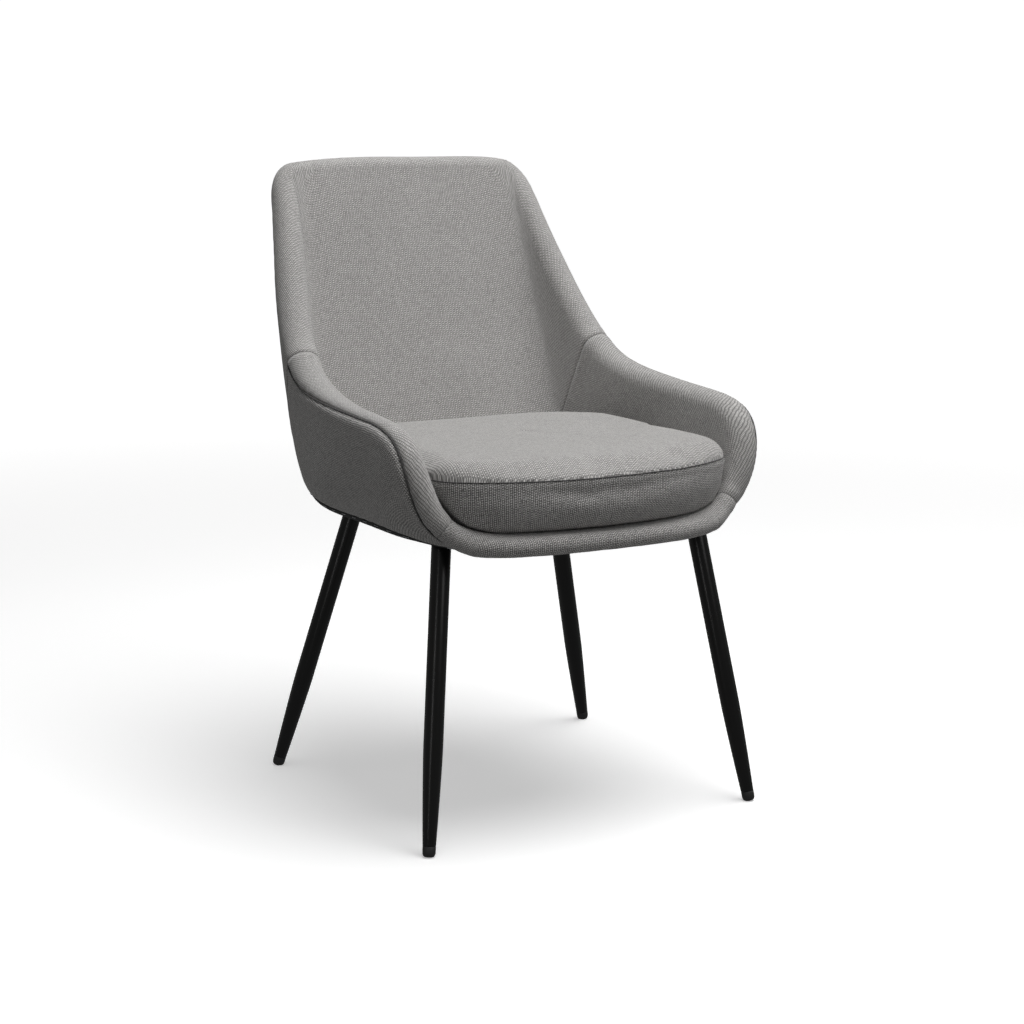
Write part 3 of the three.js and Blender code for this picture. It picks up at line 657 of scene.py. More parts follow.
def finish(key):
    """Each finish is made once, from the settings, when it is first asked for."""
    if key not in FINISHES:
        s = bpy.context.scene.chair_finishes
        makers = {
            "cloth": lambda: woven("grey woven cloth", s.cloth, s.pitch * MM, s.rib * MM),
            # the outer copy, on the sides, lip, boxing and bend, has stronger weave contrast and painted
            # shade in the hollows between threads
            "deep": lambda: woven("grey woven cloth, outer", s.cloth, s.pitch * MM, s.rib * MM, 0.28,
                                  0.3 * MM, s.outer_shade_and_contrast),
            "thread": lambda: woven("grey sewing thread", s.cloth, 0.6 * MM, 0.6 * MM, 0.1, 0.1 * MM),
            "coat": lambda: powder_coat("black powder coat", s.coat),
            "plastic": lambda: moulded("black glide plastic", s.plastic),
            "lining": lambda: lining("black lining", s.lining),
            "foam": lambda: open_foam("cream foam", s.foam),
            "plywood": lambda: plywood("moulded plywood", s.plywood),
            "zinc": lambda: zinc("zinc plated steel", s.zinc),
            "floor": lambda: studio_floor("studio floor", s.floor),
        }
        FINISHES[key] = makers[key]()
    return FINISHES[key]


def colour_property(name, description, default):
    """A colour setting with three channels from 0 to 1."""
    return FloatVectorProperty(name=name, description=description, subtype="COLOR", size=3,
                               min=0.0, max=1.0, default=default)


# ---------------------------------------------------------------- settings
class ChairFinishes(bpy.types.PropertyGroup):
    """Colours of the chair and the size of its weave"""

    cloth: colour_property("Cloth", "Colour of the woven cloth", (0.335, 0.327, 0.318))
    pitch: FloatProperty(name="Weave width", description="Length of one float across the cloth, millimetres",
                         default=2.6, min=0.5, max=8.0)
    rib: FloatProperty(name="Weave height", description="Width of one float along the cloth, millimetres",
                       default=1.55, min=0.5, max=8.0)
    # strength of the painted shade in the weave's hollows, and of the weave's contrast, on the outer cloth
    outer_shade_and_contrast: FloatProperty(name="Outer weave depth", description="Contrast of the weave on the sides",
                               default=1.7, min=0.0, max=3.0)
    coat: colour_property("Leg coat", "Colour of the legs' powder coat", (0.004, 0.004, 0.0038))
    plastic: colour_property("Glides", "Colour of the glides' plastic", (0.012, 0.012, 0.012))
    lining: colour_property("Lining", "Colour of the underside's lining", (0.012, 0.012, 0.013))
    foam: colour_property("Foam", "Colour of the foam", (0.72, 0.64, 0.42))
    plywood: colour_property("Plywood", "Colour of the boards", (0.5, 0.32, 0.15))
    zinc: colour_property("Zinc", "Colour of the plated steel", (0.55, 0.56, 0.58))
    floor: colour_property("Floor", "Colour of the studio floor", (0.9, 0.9, 0.9))


class ChairSizes(bpy.types.PropertyGroup):
    """Sizes of the covers, seams, cushion and legs"""

    cloth_step: FloatProperty(name="Cover mesh", description="Spacing of the covers' mesh",
                              default=5.0 * MM, min=2 * MM, max=20 * MM, subtype="DISTANCE", unit="LENGTH")
    tuck: FloatProperty(name="Seam depth", description="How deep the cloth turns in at a seam",
                        default=1.7 * MM, min=0.0, max=5 * MM, subtype="DISTANCE", unit="LENGTH")
    stitch: FloatProperty(name="Stitch", description="Length of one stitch and its gap",
                          default=9.0 * MM, min=3 * MM, max=20 * MM, subtype="DISTANCE", unit="LENGTH")
    staple_spacing: FloatProperty(name="Staple spacing", description="Distance between the lining's staples",
                                  default=32.0 * MM, min=10 * MM, max=80 * MM, subtype="DISTANCE",
                                  unit="LENGTH")
    crown: FloatProperty(name="Crown", description="Rise of the cushion's top over its seam",
                         default=22.0 * MM, min=5 * MM, max=60 * MM, subtype="DISTANCE", unit="LENGTH")
    swell: FloatProperty(name="Swell limit", description="Furthest that stuffing moves the cushion's cloth",
                         default=5.0 * MM, min=0.0, max=30 * MM, subtype="DISTANCE", unit="LENGTH")
    leg_sides: IntProperty(name="Leg sides", description="Facets round a leg", default=48, min=12, max=96)


# ---------------------------------------------------------------- the shell's covers
# The outer seam's angle round the rolled rim, by station: it climbs over the arm's front shoulder.
SEAM_AT = np.array([0, 1.15, 1.8, 2.25, 2.7, 3.1, 3.4, 3.75, 4.1, 4.9, 5.2, 5.65, 6.1, 6.55, 7.2, 7.7])
SEAM_TURN = np.array([-88, -85, -76, -65, -57, -50, -45, -40, -37, -37, -42, -48, -56, -67, -84, -89])
SEAM_START, SEAM_STEP, SEAM_SUNK = 0.35, 2.2 * MM, 0.75 * MM  # first station, ring spacing, depth


def arm_seam(t):
    """Seam angle at station t, read off the table by straight lines."""
    return np.interp(t, SEAM_AT, SEAM_TURN)


def piece_cover(name, nodes, slot="upholstery", key="cloth", **ranges):
    """Builds one cover over its lattice range and lets it stand for its CAD nodes."""
    s = bpy.context.scene.chair_sizes
    cover = Cover(step=s.cloth_step, tuck=s.tuck, **ranges)
    return fitted(cover.build(name, finish(key)), slot, *nodes)


def piece_foam(name, nodes, **ranges):
    """A soft layer under a cover: the same surface, sunk under the cloth and given the pad's thickness."""
    pad = Cover(step=9 * MM, seams="", lift=-4.2 * MM, thick=5 * MM, **ranges)
    return fitted(pad.build(name, finish("foam")), "foam", *nodes)


class CHAIR_OT_back(bpy.types.Operator):
    """Sews the back's inner cover, which rolls over the rim, and its outer cover"""

    bl_idname = "chair.back"
    bl_label = "Back covers"

    def execute(self, context):
        piece_cover("back_inner_cloth", ["back_cover"], t0=BACK_START, t1=LAST, c0=-1, c1=1, side=1,
                    seam=arm_seam)
        piece_cover("back_outer_cloth", ["rear_cover"], t0=BACK_START, t1=LAST, c0=-1, c1=1, side=-1,
                    seam=arm_seam)
        piece_foam("back_front_pad", ["back_foam"], t0=BACK_START + 0.1, t1=10.8, c0=-0.9, c1=0.9, side=1)
        piece_foam("back_rear_pad", ["rear_pad"], t0=BACK_START + 0.1, t1=10.8, c0=-0.9, c1=0.9, side=-1)
        return {"FINISHED"}


class CHAIR_OT_seat_pan(bpy.types.Operator):
    """Sews the covers of the seat pan, the front lip, the bend under the back and the underside"""

    bl_idname = "chair.seat_pan"
    bl_label = "Seat and lip covers"

    def execute(self, context):
        p = PAN_SHARE
        piece_cover("pan_cloth", ["pan_cover"], t0=LIP_END, t1=BACK_START, c0=-p, c1=p, side=1)
        piece_cover("lip_band", ["lip_cover"], key="deep", t0=0, t1=LIP_END, c0=-1, c1=1, side=1,
                    seam=arm_seam)
        piece_cover("lip_under_cloth", ["lip_underside"], key="deep", t0=0, t1=LIP_END, c0=-p, c1=p,
                    side=-1, seam=arm_seam)
        piece_cover("rear_bend_cloth", ["rear_apron"], key="deep", t0=BEND, t1=BACK_START, c0=-p, c1=p,
                    side=-1)
        piece_cover("underside_lining", ["dust_cover"], "lining", "lining", t0=LIP_END, t1=BEND,
                    c0=-p, c1=p, side=-1, thick=1.0 * MM)
        piece_foam("seat_pan_pad", ["seat_pad"], t0=LIP_END, t1=BACK_START, c0=-0.6, c1=0.6, side=1)
        piece_foam("underside_pad", ["under_pad"], t0=LIP_END, t1=BEND, c0=-0.6, c1=0.6, side=-1)
        return {"FINISHED"}


class CHAIR_OT_arms(bpy.types.Operator):
    """Sews each arm's inner cover, which rolls over the arm, and its outer side cover"""

    bl_idname = "chair.arms"
    bl_label = "Arm covers"

    def execute(self, context):
        for sign, side in SIDES:
            c0, c1 = sorted((sign * PAN_SHARE, sign))
            piece_cover(f"arm_cloth_{side}", [f"arm_cover_{side}"], t0=LIP_END, t1=BACK_START, c0=c0, c1=c1,
                        side=1, seam=arm_seam, turned=-sign * 32.0, pucker=0.6 * MM)
            piece_cover(f"side_cloth_{side}", [f"side_cover_{side}"], key="deep", t0=0, t1=BACK_START,
                        c0=c0, c1=c1, side=-1, seam=arm_seam)
            c0, c1 = sorted((sign * (PAN_SHARE + 0.02), sign * 0.95))
            piece_foam(f"arm_inner_pad_{side}", [f"arm_foam_{side}"], t0=LIP_END + 0.1, t1=BACK_START - 0.1,
                       c0=c0, c1=c1, side=1)
            piece_foam(f"arm_outer_pad_{side}", [f"side_pad_{side}"], t0=LIP_END + 0.1, t1=BACK_START - 0.1,
                       c0=c0, c1=c1, side=-1)
        return {"FINISHED"}


def rim_curve(t, sign, angle, extra):
    """The curve on the rolled rim along stations t on one side: rim + (half thickness + extra) *
    (out cos a + normal sin a) for the angle a."""
    u = sign * rim_at(t)
    turn = np.radians(angle)
    direction = (outward(u, t, np.ones_like(t, bool)) * np.cos(turn)[..., None]
                 + normal(u, t) * np.sin(turn)[..., None])
    return middle(u, t) + direction * (half_thickness(u, t) + extra)[..., None]


class CHAIR_OT_seams(bpy.types.Operator):
    """Lays the corded outer seam of each arm, which swells between its stitches"""

    bl_idname = "chair.seams"
    bl_label = "Arm seams"

    def execute(self, context):
        stitch = context.scene.chair_sizes.stitch
        t = np.linspace(SEAM_START, BACK_START, 260)
        for sign, side in SIDES:
            path = resampled(rim_curve(t, sign, arm_seam(t), -SEAM_SUNK), SEAM_STEP)
            along = np.arange(len(path)) * SEAM_STEP
            radius = (0.95 + 0.2 * np.sin(2 * np.pi * along / stitch)) * MM
            fitted(joined(f"arm_seam_{side}", [tube(path, radius, 8)], finish("thread")), "upholstery")
        return {"FINISHED"}


# ---------------------------------------------------------------- the seat cushion
# The right half of the cushion's outline at the top seam as cubic Bezier pieces, millimetres.
OUTLINE = np.array([
    [[0, -312], [90, -312], [158, -292], [190, -268]],
    [[190, -268], [204, -258], [212, -244], [213.5, -222]],
    [[213.5, -222], [221, -160], [221, -60], [213, 10]],
    [[213, 10], [209, 50], [206, 68], [194, 100]],
    [[194, 100], [172, 152], [90, 150], [0, 151]],
], float)
CUSHION_BASE, CUSHION_SEAM = 400.5 * MM, 465.6 * MM
CUSHION_COLUMNS = 300
BASE_RINGS = 8
CUSHION_CENTRE = np.array([0.0, -75 * MM])
CLEAR_BEFORE, CLEAR_AFTER = 1.6 * MM, 1.4 * MM  # gap to the shell before and after the swelling
SWELL_FRAMES = 18


def cushion_outline(count):
    """Evenly spaced points round the mirrored Bezier outline, in metres."""
    w = np.linspace(0, 1, 60)[:, None]
    pieces = [(1 - w) ** 3 * p[0] + 3 * (1 - w) ** 2 * w * p[1] + 3 * (1 - w) * w**2 * p[2] + w**3 * p[3]
              for p in OUTLINE]
    right = np.concatenate([p[:-1] for p in pieces] + [OUTLINE[-1, -1:]])
    loop = np.concatenate([right, (right * (-1, 1))[::-1][1:]]) * MM
    s = np.concatenate([[0], np.cumsum(np.linalg.norm(np.diff(loop, axis=0), axis=1))])
    at = np.linspace(0, s[-1], count, endpoint=False)
    return np.stack([np.interp(at, s, loop[:, k]) for k in (0, 1)], -1), s[-1]


def cushion_rings(outline, crown):
    """Rings of the boxed cushion from the middle of its base, up the boxing and over the crowned top.

    Base and top rings shrink towards the centre by a share f of the reach; wall rings move in by
    a(1-h)^3, h the height share; the top rises by crown (1 - exp(-(d / s)^0.8)) at distance d from its
    seam, quickly (small s) at the sides and slowly at the front and the back."""
    arm = outline - CUSHION_CENTRE
    reach = np.linalg.norm(arm, axis=1)
    d = arm[:, 1] / reach
    front, rear = smoothstep(-d, 0.62, 0.95), smoothstep(d, 0.4, 0.85)
    depth = (14 * MM) + (46 * MM) * rear
    quick = (7 + 13 * front + 26 * rear) * MM
    lift = crown * (1 + 0.04 * (1 - front) * (1 - rear))
    rings = []

    def ring(f, h, rise, wall):
        inset = wall * (1 - h) ** 3 / reach
        at = arm * ((1 - inset) * (1 - f))[:, None] + CUSHION_CENTRE
        z = CUSHION_BASE + (CUSHION_SEAM - CUSHION_BASE) * h + rise + 0 * reach
        rings.append(np.column_stack([at, z]))

    for f in (1.0, 0.8, 0.6, 0.4, 0.25, 0.14, 0.07, 0.03):
        ring(f, 0.0, 0.0, depth)
    for h in np.linspace(0, 1, 16):
        ring(0.0, h, 0.0, depth)
    seam_ring = len(rings) - 1
    for f in np.concatenate([[0.008, 0.02, 0.036, 0.055, 0.08], np.linspace(0.11, 1.0, 30)]):
        inset = f * reach
        ring(f, 1.0, lift * (1 - np.exp(-((inset / quick) ** 0.8))), depth)
    return np.stack(rings), seam_ring


def shell_skin():
    """Points and normals of the shell's inner covers round the cushion, from the lip to the lower back."""
    t, c = np.linspace(0, 9, 110), np.linspace(-1, 1, 111)
    C, T = np.meshgrid(c, t)
    U = C * rim_at(T)
    n = normal(U, T)
    skin = middle(U, T) + n * half_thickness(U, T)[..., None]
    return bridged(skin, n, BRIDGED_RADIUS).reshape(-1, 3), n.reshape(-1, 3)


def kept_clear(grid, clearance, rounds=4):
    """Pushes cushion points off the shell: each takes its nearest skin point s with normal n, and moves
    along n by clearance - (p - s).n wherever that is positive."""
    skin, n = shell_skin()
    squares = (skin**2).sum(1)
    grid = grid.copy()
    for _ in range(rounds):
        for k, ring in enumerate(grid):
            nearest = (squares[None] - 2 * ring @ skin.T).argmin(1)
            gap = ((ring - skin[nearest]) * n[nearest]).sum(1)
            grid[k] = ring + n[nearest] * np.maximum(clearance - gap, 0)[:, None]
    return grid


class CHAIR_OT_cushion(bpy.types.Operator):
    """Makes the boxed seat cushion, swells it with cloth simulation and sews its top seam"""

    bl_idname = "chair.cushion"
    bl_label = "Seat cushion"

    def execute(self, context):
        s = context.scene.chair_sizes
        count = CUSHION_COLUMNS
        outline, perimeter = cushion_outline(count)
        grid, seam_ring = cushion_rings(outline, s.crown)
        along = np.broadcast_to(np.linspace(0, perimeter, count, endpoint=False), grid.shape[:2])
        grid = kept_clear(grid, CLEAR_BEFORE)
        grid = kept_clear(swollen(grid, seam_ring, s.swell), CLEAR_AFTER)
        grid = self.sewn(grid, seam_ring, along)
        piece = make_mesh("seat_cushion", grid.reshape(-1, 3), grid_faces(len(grid), count, wrap=True),
                          None, finish("cloth"))
        piece.data.materials.append(finish("deep"))
        ring_of_face = np.arange(len(piece.data.polygons)) // count
        piece.data.polygons.foreach_set("material_index", (ring_of_face < seam_ring).astype(np.int32))
        weave_map(piece, grid, seam_ring, along)
        weld(piece)
        fitted(piece, "upholstery", "cushion_top", "cushion_boxing", "cushion_base", "cushion_core")
        self.seam(grid, seam_ring)
        return {"FINISHED"}

    @staticmethod
    def sewn(grid, seam_ring, along):
        """Turns the cloth in at the top seam: a Gaussian groove of the ring number, with faint puckers."""
        ahead = lengths(grid, 0)
        seam = ahead[seam_ring]
        d = ahead - seam[None]
        out = unit(grid[seam_ring] - np.array([*CUSHION_CENTRE, grid[seam_ring, :, 2].mean()]))
        groove = np.exp(-((d / (2.6 * MM)) ** 2)) * 1.6 * MM
        pucker = wander(along, d, 0.022, 5) * 0.35 * MM * np.exp(-(np.abs(d) / 0.012))
        return grid - out[None] * (groove + pucker)[..., None]

    @staticmethod
    def seam(grid, seam_ring):
        """The thin ridge of the top seam, just proud of its groove."""
        ring = grid[seam_ring]
        out = unit(ring - np.array([*CUSHION_CENTRE, ring[:, 2].mean()]))
        loop = np.concatenate([ring, ring[:1]]) + np.concatenate([out, out[:1]]) * 0.35 * MM
        path = resampled(loop, 3.0 * MM)[:-1]
        piece = joined("cushion_seam", [tube(path, 0.75 * MM, 8, closed=True)], finish("thread"))
        fitted(piece, "upholstery")


def weave_map(piece, grid, seam_ring, along):
    """Map in metres: plan coordinates on the top and base, arc length and height on the boxing."""
    layer = piece.data.uv_layers.new(name="cloth")
    loops = np.empty(len(piece.data.loops), np.int32)
    piece.data.loops.foreach_get("vertex_index", loops)
    count = grid.shape[1]
    ring, column = loops // count, loops % count
    face = np.repeat(np.arange(len(piece.data.polygons)), 4)
    face_ring = face // count
    last_column = (face % count) == count - 1
    height = lengths(grid, 0)
    wall = (face_ring >= BASE_RINGS - 1) & (face_ring < seam_ring)
    u = np.where(wall, along[ring, column], grid[ring, column, 0])
    step = along[0, 1]
    u = np.where(wall & last_column & (column == 0), along[0, -1] + step, u)
    v = np.where(wall, height[ring, column], grid[ring, column, 1])
    layer.data.foreach_set("uv", np.stack([u, v], -1).astype(np.float32).ravel())


def swollen(grid, seam_ring, limit):
    """Runs Cloth with inner pressure on the closed ring grid and returns the moved grid, each point's
    move evened along its ring, cut to the limit and held back near the sewn seam. The base is pinned."""
    rows, count = grid.shape[:2]
    work = make_mesh("cushion_stuffing", grid.reshape(-1, 3), grid_faces(rows, count, wrap=True))
    places = np.arange(rows * count, dtype=np.int32)
    work.data.attributes.new("place", "INT", "POINT").data.foreach_set("value", places)
    bm = bmesh.new()
    bm.from_mesh(work.data)
    bmesh.ops.remove_doubles(bm, verts=bm.verts, dist=1e-5)
    bm.to_mesh(work.data)
    bm.free()
    places = np.empty(len(work.data.vertices), np.int32)
    work.data.attributes["place"].data.foreach_get("value", places)
    pinned = work.vertex_groups.new(name="held")
    held = np.nonzero(places < count * BASE_RINGS)[0]
    pinned.add([int(k) for k in held], 1.0, "REPLACE")
    cloth = work.modifiers.new("stuffing", "CLOTH").settings
    cloth.use_pressure = True
    cloth.uniform_pressure_force = 4.0
    cloth.effector_weights.gravity = 0.0
    cloth.vertex_group_mass = "held"
    cloth.quality = 5
    cloth.mass = 0.3
    cloth.tension_stiffness = 15
    cloth.compression_stiffness = 15
    cloth.bending_stiffness = 0.5
    scene = bpy.context.scene
    for step in range(1, SWELL_FRAMES + 1):
        scene.frame_set(step)
    done = work.evaluated_get(bpy.context.evaluated_depsgraph_get())
    before = grid.reshape(-1, 3)
    after = before.copy()
    after[places] = points_of(done.data)
    # The top's last ring is its middle and takes one point's place; the base's middle stays.
    pole = (rows - 1) * count
    after[pole:] = after[places[places >= pole][0]]
    after[:count] = before[:count]
    move = (after - before).reshape(grid.shape)
    for _ in range(3):
        move = (np.roll(move, 1, 1) + 2 * move + np.roll(move, -1, 1)) / 4
    size = np.linalg.norm(move, axis=-1, keepdims=True)
    from_seam = lengths(grid, 0)
    from_seam = from_seam - from_seam[seam_ring]
    loose = 1 - 0.7 * np.exp(-((from_seam / (16 * MM)) ** 2))
    scene.frame_set(1)
    bpy.data.objects.remove(work)
    return grid + move * np.minimum(1, limit / np.maximum(size, 1e-9)) * loose[..., None]


# ---------------------------------------------------------------- legs
# Millimetres up the leg's axis from the floor: its open foot, and the taper's start and run.
LEG_FOOT, TAPER_START, TAPER_RUN = 13.6, 14.6, 123
FOOT_RADIUS, TAPER_GAIN, TAPER_POWER = 8.5, 4.0, 1.35
LEG_ENDS = 20 * MM  # height of the two ends that give the leg's axis
GLIDE_PROFILE = np.array([(0.0, 0.1), (4.6, 0.1), (6.0, 0.5), (7.4, 1.9), (8.2, 4.2), (8.45, 7.5),
                          (8.45, 13.2), (8.3, 13.4), (0.0, 13.4)]) * MM


def leg_profile(length):
    """Radius and height of the leg's tube: r = 8.5 + 4 (1 - (1 - k)^1.35) over the taper's share k."""
    k = np.linspace(0, 1, 12)
    radius = FOOT_RADIUS + TAPER_GAIN * (1 - (1 - k) ** TAPER_POWER)
    full = radius[-1]
    foot = np.array([(0.0, LEG_FOOT), (radius[0] - 0.9, LEG_FOOT), (radius[0] - 0.15, LEG_FOOT + 0.1)])
    taper = np.column_stack([radius, TAPER_START + TAPER_RUN * k])
    head = np.array([(full * MM, length - 1.0 * MM), ((full - 0.4) * MM, length), (0.0, length)])
    return np.concatenate([foot * MM, taper * MM, head])


def turned(profile, foot, axis, sides):
    """Surface of revolution about a leg's axis: radius and height pairs, heights up the axis."""
    axis = unit(np.asarray(axis, float))
    a = unit(np.cross(axis, (0.0, 1.0, 0.0)))
    b = np.cross(axis, a)
    turn = np.linspace(0, 2 * np.pi, sides, endpoint=False)
    ring = a[None] * np.cos(turn)[:, None] + b[None] * np.sin(turn)[:, None]
    r, h = np.asarray(profile, float).T
    points = foot + axis * h[:, None, None] + ring[None] * r[:, None, None]
    return points.reshape(-1, 3), grid_faces(len(profile), sides, wrap=True)


def leg_axis(name):
    """Foot point and direction of a leg from the middles of its tube's lowest and highest points."""
    co = points_of(frame["nodes"][f"leg_{name}"].data).astype(float)
    foot_side = co[co[:, 2] < co[:, 2].min() + LEG_ENDS]
    head_side = co[co[:, 2] > co[:, 2].max() - LEG_ENDS]
    bottom = (foot_side.min(0) + foot_side.max(0)) / 2
    top = (head_side.min(0) + head_side.max(0)) / 2
    axis = unit(top - bottom)
    return bottom - axis * (bottom[2] / axis[2]), axis


class CHAIR_OT_legs(bpy.types.Operator):
    """Turns the four tapered legs, their mouth rings and their glides"""

    bl_idname = "chair.legs"
    bl_label = "Legs and glides"

    def execute(self, context):
        sides = context.scene.chair_sizes.leg_sides
        for pair, side in CORNERS:
            name = f"{pair}_{side}"
            foot, axis = leg_axis(name)
            _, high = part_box(f"leg_{name}")
            profile = leg_profile((high.z - 3 * MM) / axis[2])
            piece = joined(f"tapered_leg_{name}", [turned(profile, foot, axis, sides)], finish("coat"))
            fitted(piece, "powder_coat", f"leg_{name}")
            cap = joined(f"glide_{name}", [turned(GLIDE_PROFILE, foot, axis, sides)], finish("plastic"))
            level = points_of(cap.data)
            level[:, 2] = np.maximum(level[:, 2], 0.0)
            cap.data.vertices.foreach_set("co", level.ravel())
            fitted(cap, "glide_plastic", f"leg_glide_{name}")
        return {"FINISHED"}


STAPLE_EDGE, STAPLE_INSET = 0.975, 0.12  # share of the lining's width, stations from its ends
STAPLE = np.array([[-4.5, 0, -1.2], [-4.4, 0, 0.1], [-4.0, 0, 0.4], [4.0, 0, 0.4], [4.4, 0, 0.1],
                   [4.5, 0, -1.2]]) * MM  # a staple's wire: along its crown, across it, and out


def staple_places(spacing):
    """Points, crown directions and outward normals of staples every so far along the lining's edge."""
    edge = PAN_SHARE * STAPLE_EDGE
    t = np.linspace(LIP_END + STAPLE_INSET, BEND - STAPLE_INSET, 200)
    c = np.linspace(-edge, edge, 120)
    runs = [(sign * edge + 0 * t, t) for sign in (-1, 1)]
    runs += [(c, c * 0 + LIP_END + STAPLE_INSET), (c, c * 0 + BEND - STAPLE_INSET)]
    places = []
    for across, along in runs:
        u = across * rim_at(along)
        down = -normal(u, along)
        path = middle(u, along) + down * half_thickness(u, along)[..., None]
        s = lengths(path, 0)
        at = np.arange(spacing / 2, s[-1], spacing)
        point = np.stack([np.interp(at, s, path[:, k]) for k in range(3)], -1)
        ahead = unit(np.stack([np.interp(at, s, np.gradient(path[:, k])) for k in range(3)], -1))
        out = unit(np.stack([np.interp(at, s, down[:, k]) for k in range(3)], -1))
        places.append((point, ahead, out))
    return tuple(np.concatenate(p) for p in zip(*places))


class CHAIR_OT_staples(bpy.types.Operator):
    """Staples the lining to the seat board along its four edges"""

    bl_idname = "chair.staples"
    bl_label = "Lining staples"

    def execute(self, context):
        point, ahead, out = staple_places(context.scene.chair_sizes.staple_spacing)
        wire, faces = tube(STAPLE, 0.35 * MM, 6)
        side = np.cross(out, ahead)
        parts = (point[:, None] + ahead[:, None] * wire[None, :, :1] + side[:, None] * wire[None, :, 1:2]
                 + out[:, None] * wire[None, :, 2:])
        fitted(joined("lining_staples", [(p, faces) for p in parts], finish("zinc")), "zinc_steel")
        return {"FINISHED"}


class CHAIR_OT_inner_finishes(bpy.types.Operator):
    """Gives the carried-over frame pieces their procedural finishes by material slot"""

    bl_idname = "chair.inner_finishes"
    bl_label = "Finishes of hidden pieces"

    def execute(self, context):
        keys = {"foam": "foam", "plywood": "plywood", "zinc_steel": "zinc", "lining": "lining",
                "upholstery": "cloth", "powder_coat": "coat", "glide_plastic": "plastic"}
        slots = {part["node"]: part["material_slot"] for part in frame["record"]["subparts"]}
        for name, node in frame["nodes"].items():
            for place in node.material_slots:
                place.material = finish(keys[slots[name]])
        return {"FINISHED"}


# ---------------------------------------------------------------- studio
def area_light(name, location, target, size, power):
    """A round soft light at a place, turned to its target."""
    light = bpy.data.lights.new(name, "AREA")
    light.shape = "DISK"
    light.size = size
    light.energy = power
    lamp = bpy.data.objects.new(name, light)
    lamp.location = location
    lamp.rotation_euler = (Vector(target) - Vector(location)).to_track_quat("-Z", "Y").to_euler()
    bpy.context.scene.collection.objects.link(lamp)
    return lamp


def sweep_floor(flat, bend):
    """A round studio floor: flat to one radius, then a quarter circle up into a wall."""
    turn = np.linspace(0, 2 * np.pi, 96, endpoint=False)
    rise = np.linspace(0, np.pi / 2, 16)[1:]
    inner = np.linspace(0, flat, 24)
    radius = np.concatenate([inner, flat + bend * np.sin(rise), [flat + bend]])[:, None]
    height = np.concatenate([0 * inner, bend * (1 - np.cos(rise)), [3 * bend]])[:, None]
    points = np.stack([radius * np.cos(turn), radius * np.sin(turn), height + 0 * turn], -1)
    return make_mesh("studio_floor", points.reshape(-1, 3), grid_faces(len(radius), len(turn), wrap=True),
                     None, finish("floor"))


class ChairStudio(bpy.types.PropertyGroup):
    """Places and powers of the camera, floor and lights"""

    azimuth: FloatProperty(name="Azimuth", description="Camera's turn round the chair from its front",
                           subtype="ANGLE", unit="ROTATION", default=math.radians(-28.69))
    elevation: FloatProperty(name="Elevation", description="Camera's height angle", subtype="ANGLE",
                             unit="ROTATION", default=math.radians(10.61))
    distance: FloatProperty(name="Distance", description="From the camera to its aim", default=3.0944,
                            subtype="DISTANCE", unit="LENGTH")
    lens: FloatProperty(name="Lens", description="Focal length on a 36 mm sensor, in millimetres",
                        default=80.9)
    floor_radius: FloatProperty(name="Floor", description="Radius of the flat floor", default=9.0,
                                subtype="DISTANCE", unit="LENGTH")
    floor_bend: FloatProperty(name="Sweep", description="Radius of the floor's turn into the wall",
                              default=3.0, subtype="DISTANCE", unit="LENGTH")
    key: FloatProperty(name="Key light", description="Power of the main light, in watts", default=61.0)
    fill: FloatProperty(name="Fill light", description="Power of the fill light, in watts", default=10.0)
    strip: FloatProperty(name="Strip light", description="Power of the strip reflected in the legs, watts",
                         default=5.0)
    sky: FloatProperty(name="Ambient", description="Strength of the surrounding light", default=0.2)


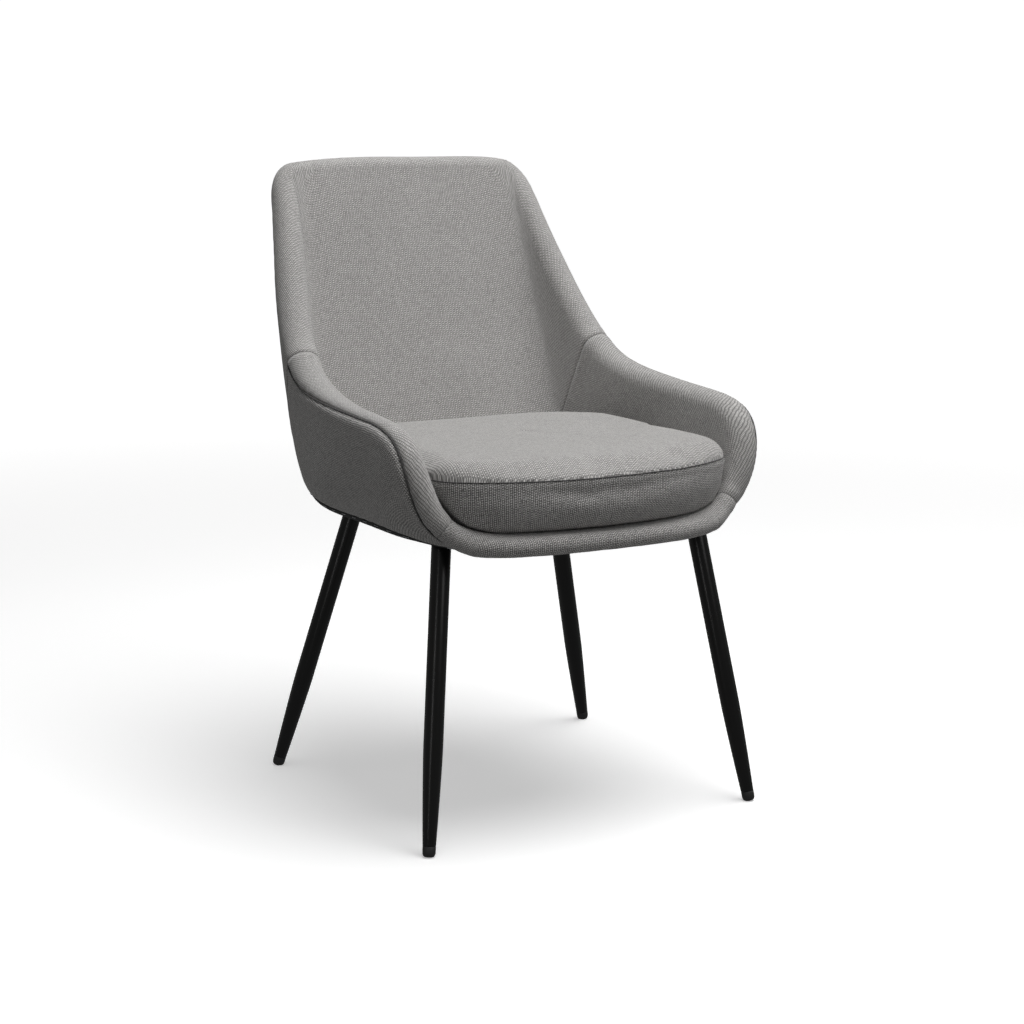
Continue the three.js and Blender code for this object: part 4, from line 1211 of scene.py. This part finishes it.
class CHAIR_OT_stage(bpy.types.Operator):
    """Lays the floor and backdrop, hangs the lights and places the camera"""

    bl_idname = "chair.stage"
    bl_label = "Studio"

    def execute(self, context):
        s = context.scene.chair_studio
        aim = Vector((0.0, -0.0477, 0.378))
        direction = Vector((math.sin(s.azimuth) * math.cos(s.elevation),
                            -math.cos(s.azimuth) * math.cos(s.elevation), math.sin(s.elevation)))
        camera = bpy.data.objects.new("camera", bpy.data.cameras.new("camera"))
        camera.data.lens = s.lens
        camera.data.sensor_width = 36.0
        camera.location = aim + direction * s.distance
        camera.rotation_euler = (-direction).to_track_quat("-Z", "Y").to_euler()
        context.scene.collection.objects.link(camera)
        context.scene.camera = camera
        floor = weld(sweep_floor(s.floor_radius, s.floor_bend), 1e-4)
        floor.visible_diffuse = floor.visible_glossy = False
        context.scene.view_settings.view_transform = "Standard"
        world = bpy.data.worlds.new("studio")
        world.use_nodes = True
        background = world.node_tree.nodes["Background"]
        background.inputs[0].default_value = (1.0, 1.0, 1.0, 1.0)
        background.inputs[1].default_value = s.sky
        context.scene.world = world
        area_light("key", (0.4, -0.35, 2.5), (0, -0.05, 0.4), 2.2, s.key)
        strip = area_light("strip", (-2.5, -1.9, 1.0), (0, 0, 0.25), 0.5, s.strip)
        strip.data.shape, strip.data.size, strip.data.size_y = "RECTANGLE", 0.16, 1.8
        strip.visible_diffuse = False
        area_light("fill", (0.9, -2.9, 2.0), (0, 0, 0.45), 1.6, s.fill)
        return {"FINISHED"}


class VIEW3D_PT_chair(bpy.types.Panel):
    """Lists the settings and the operators in the sidebar"""

    bl_label = "Chair"
    bl_idname = "VIEW3D_PT_chair"
    bl_space_type = "VIEW_3D"
    bl_region_type = "UI"
    bl_category = "Chair"

    def draw(self, context):
        layout = self.layout
        for group in ("chair_sizes", "chair_finishes", "chair_studio"):
            settings = getattr(context.scene, group)
            for key in settings.__annotations__:
                layout.prop(settings, key)
        for operator in OPERATORS:
            layout.operator(operator.bl_idname)


OPERATORS = (CHAIR_OT_stage, CHAIR_OT_back, CHAIR_OT_seat_pan, CHAIR_OT_arms, CHAIR_OT_seams,
             CHAIR_OT_cushion, CHAIR_OT_legs, CHAIR_OT_staples, CHAIR_OT_inner_finishes)
CLASSES = (ChairFinishes, ChairSizes, ChairStudio, *OPERATORS, VIEW3D_PT_chair)


def register():
    """Registers the classes and puts the settings on the scene."""
    for entry in CLASSES:
        bpy.utils.register_class(entry)
    bpy.types.Scene.chair_finishes = PointerProperty(type=ChairFinishes)
    bpy.types.Scene.chair_sizes = PointerProperty(type=ChairSizes)
    bpy.types.Scene.chair_studio = PointerProperty(type=ChairStudio)


def unregister():
    """Takes the settings and the classes away again."""
    del bpy.types.Scene.chair_studio
    del bpy.types.Scene.chair_sizes
    del bpy.types.Scene.chair_finishes
    for entry in reversed(CLASSES):
        bpy.utils.unregister_class(entry)


def main():
    """Registers the add-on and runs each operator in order."""
    register()
    for operator in OPERATORS:
        group, name = operator.bl_idname.split(".")
        getattr(getattr(bpy.ops, group), name)()


if __name__ == "__main__":
    main()
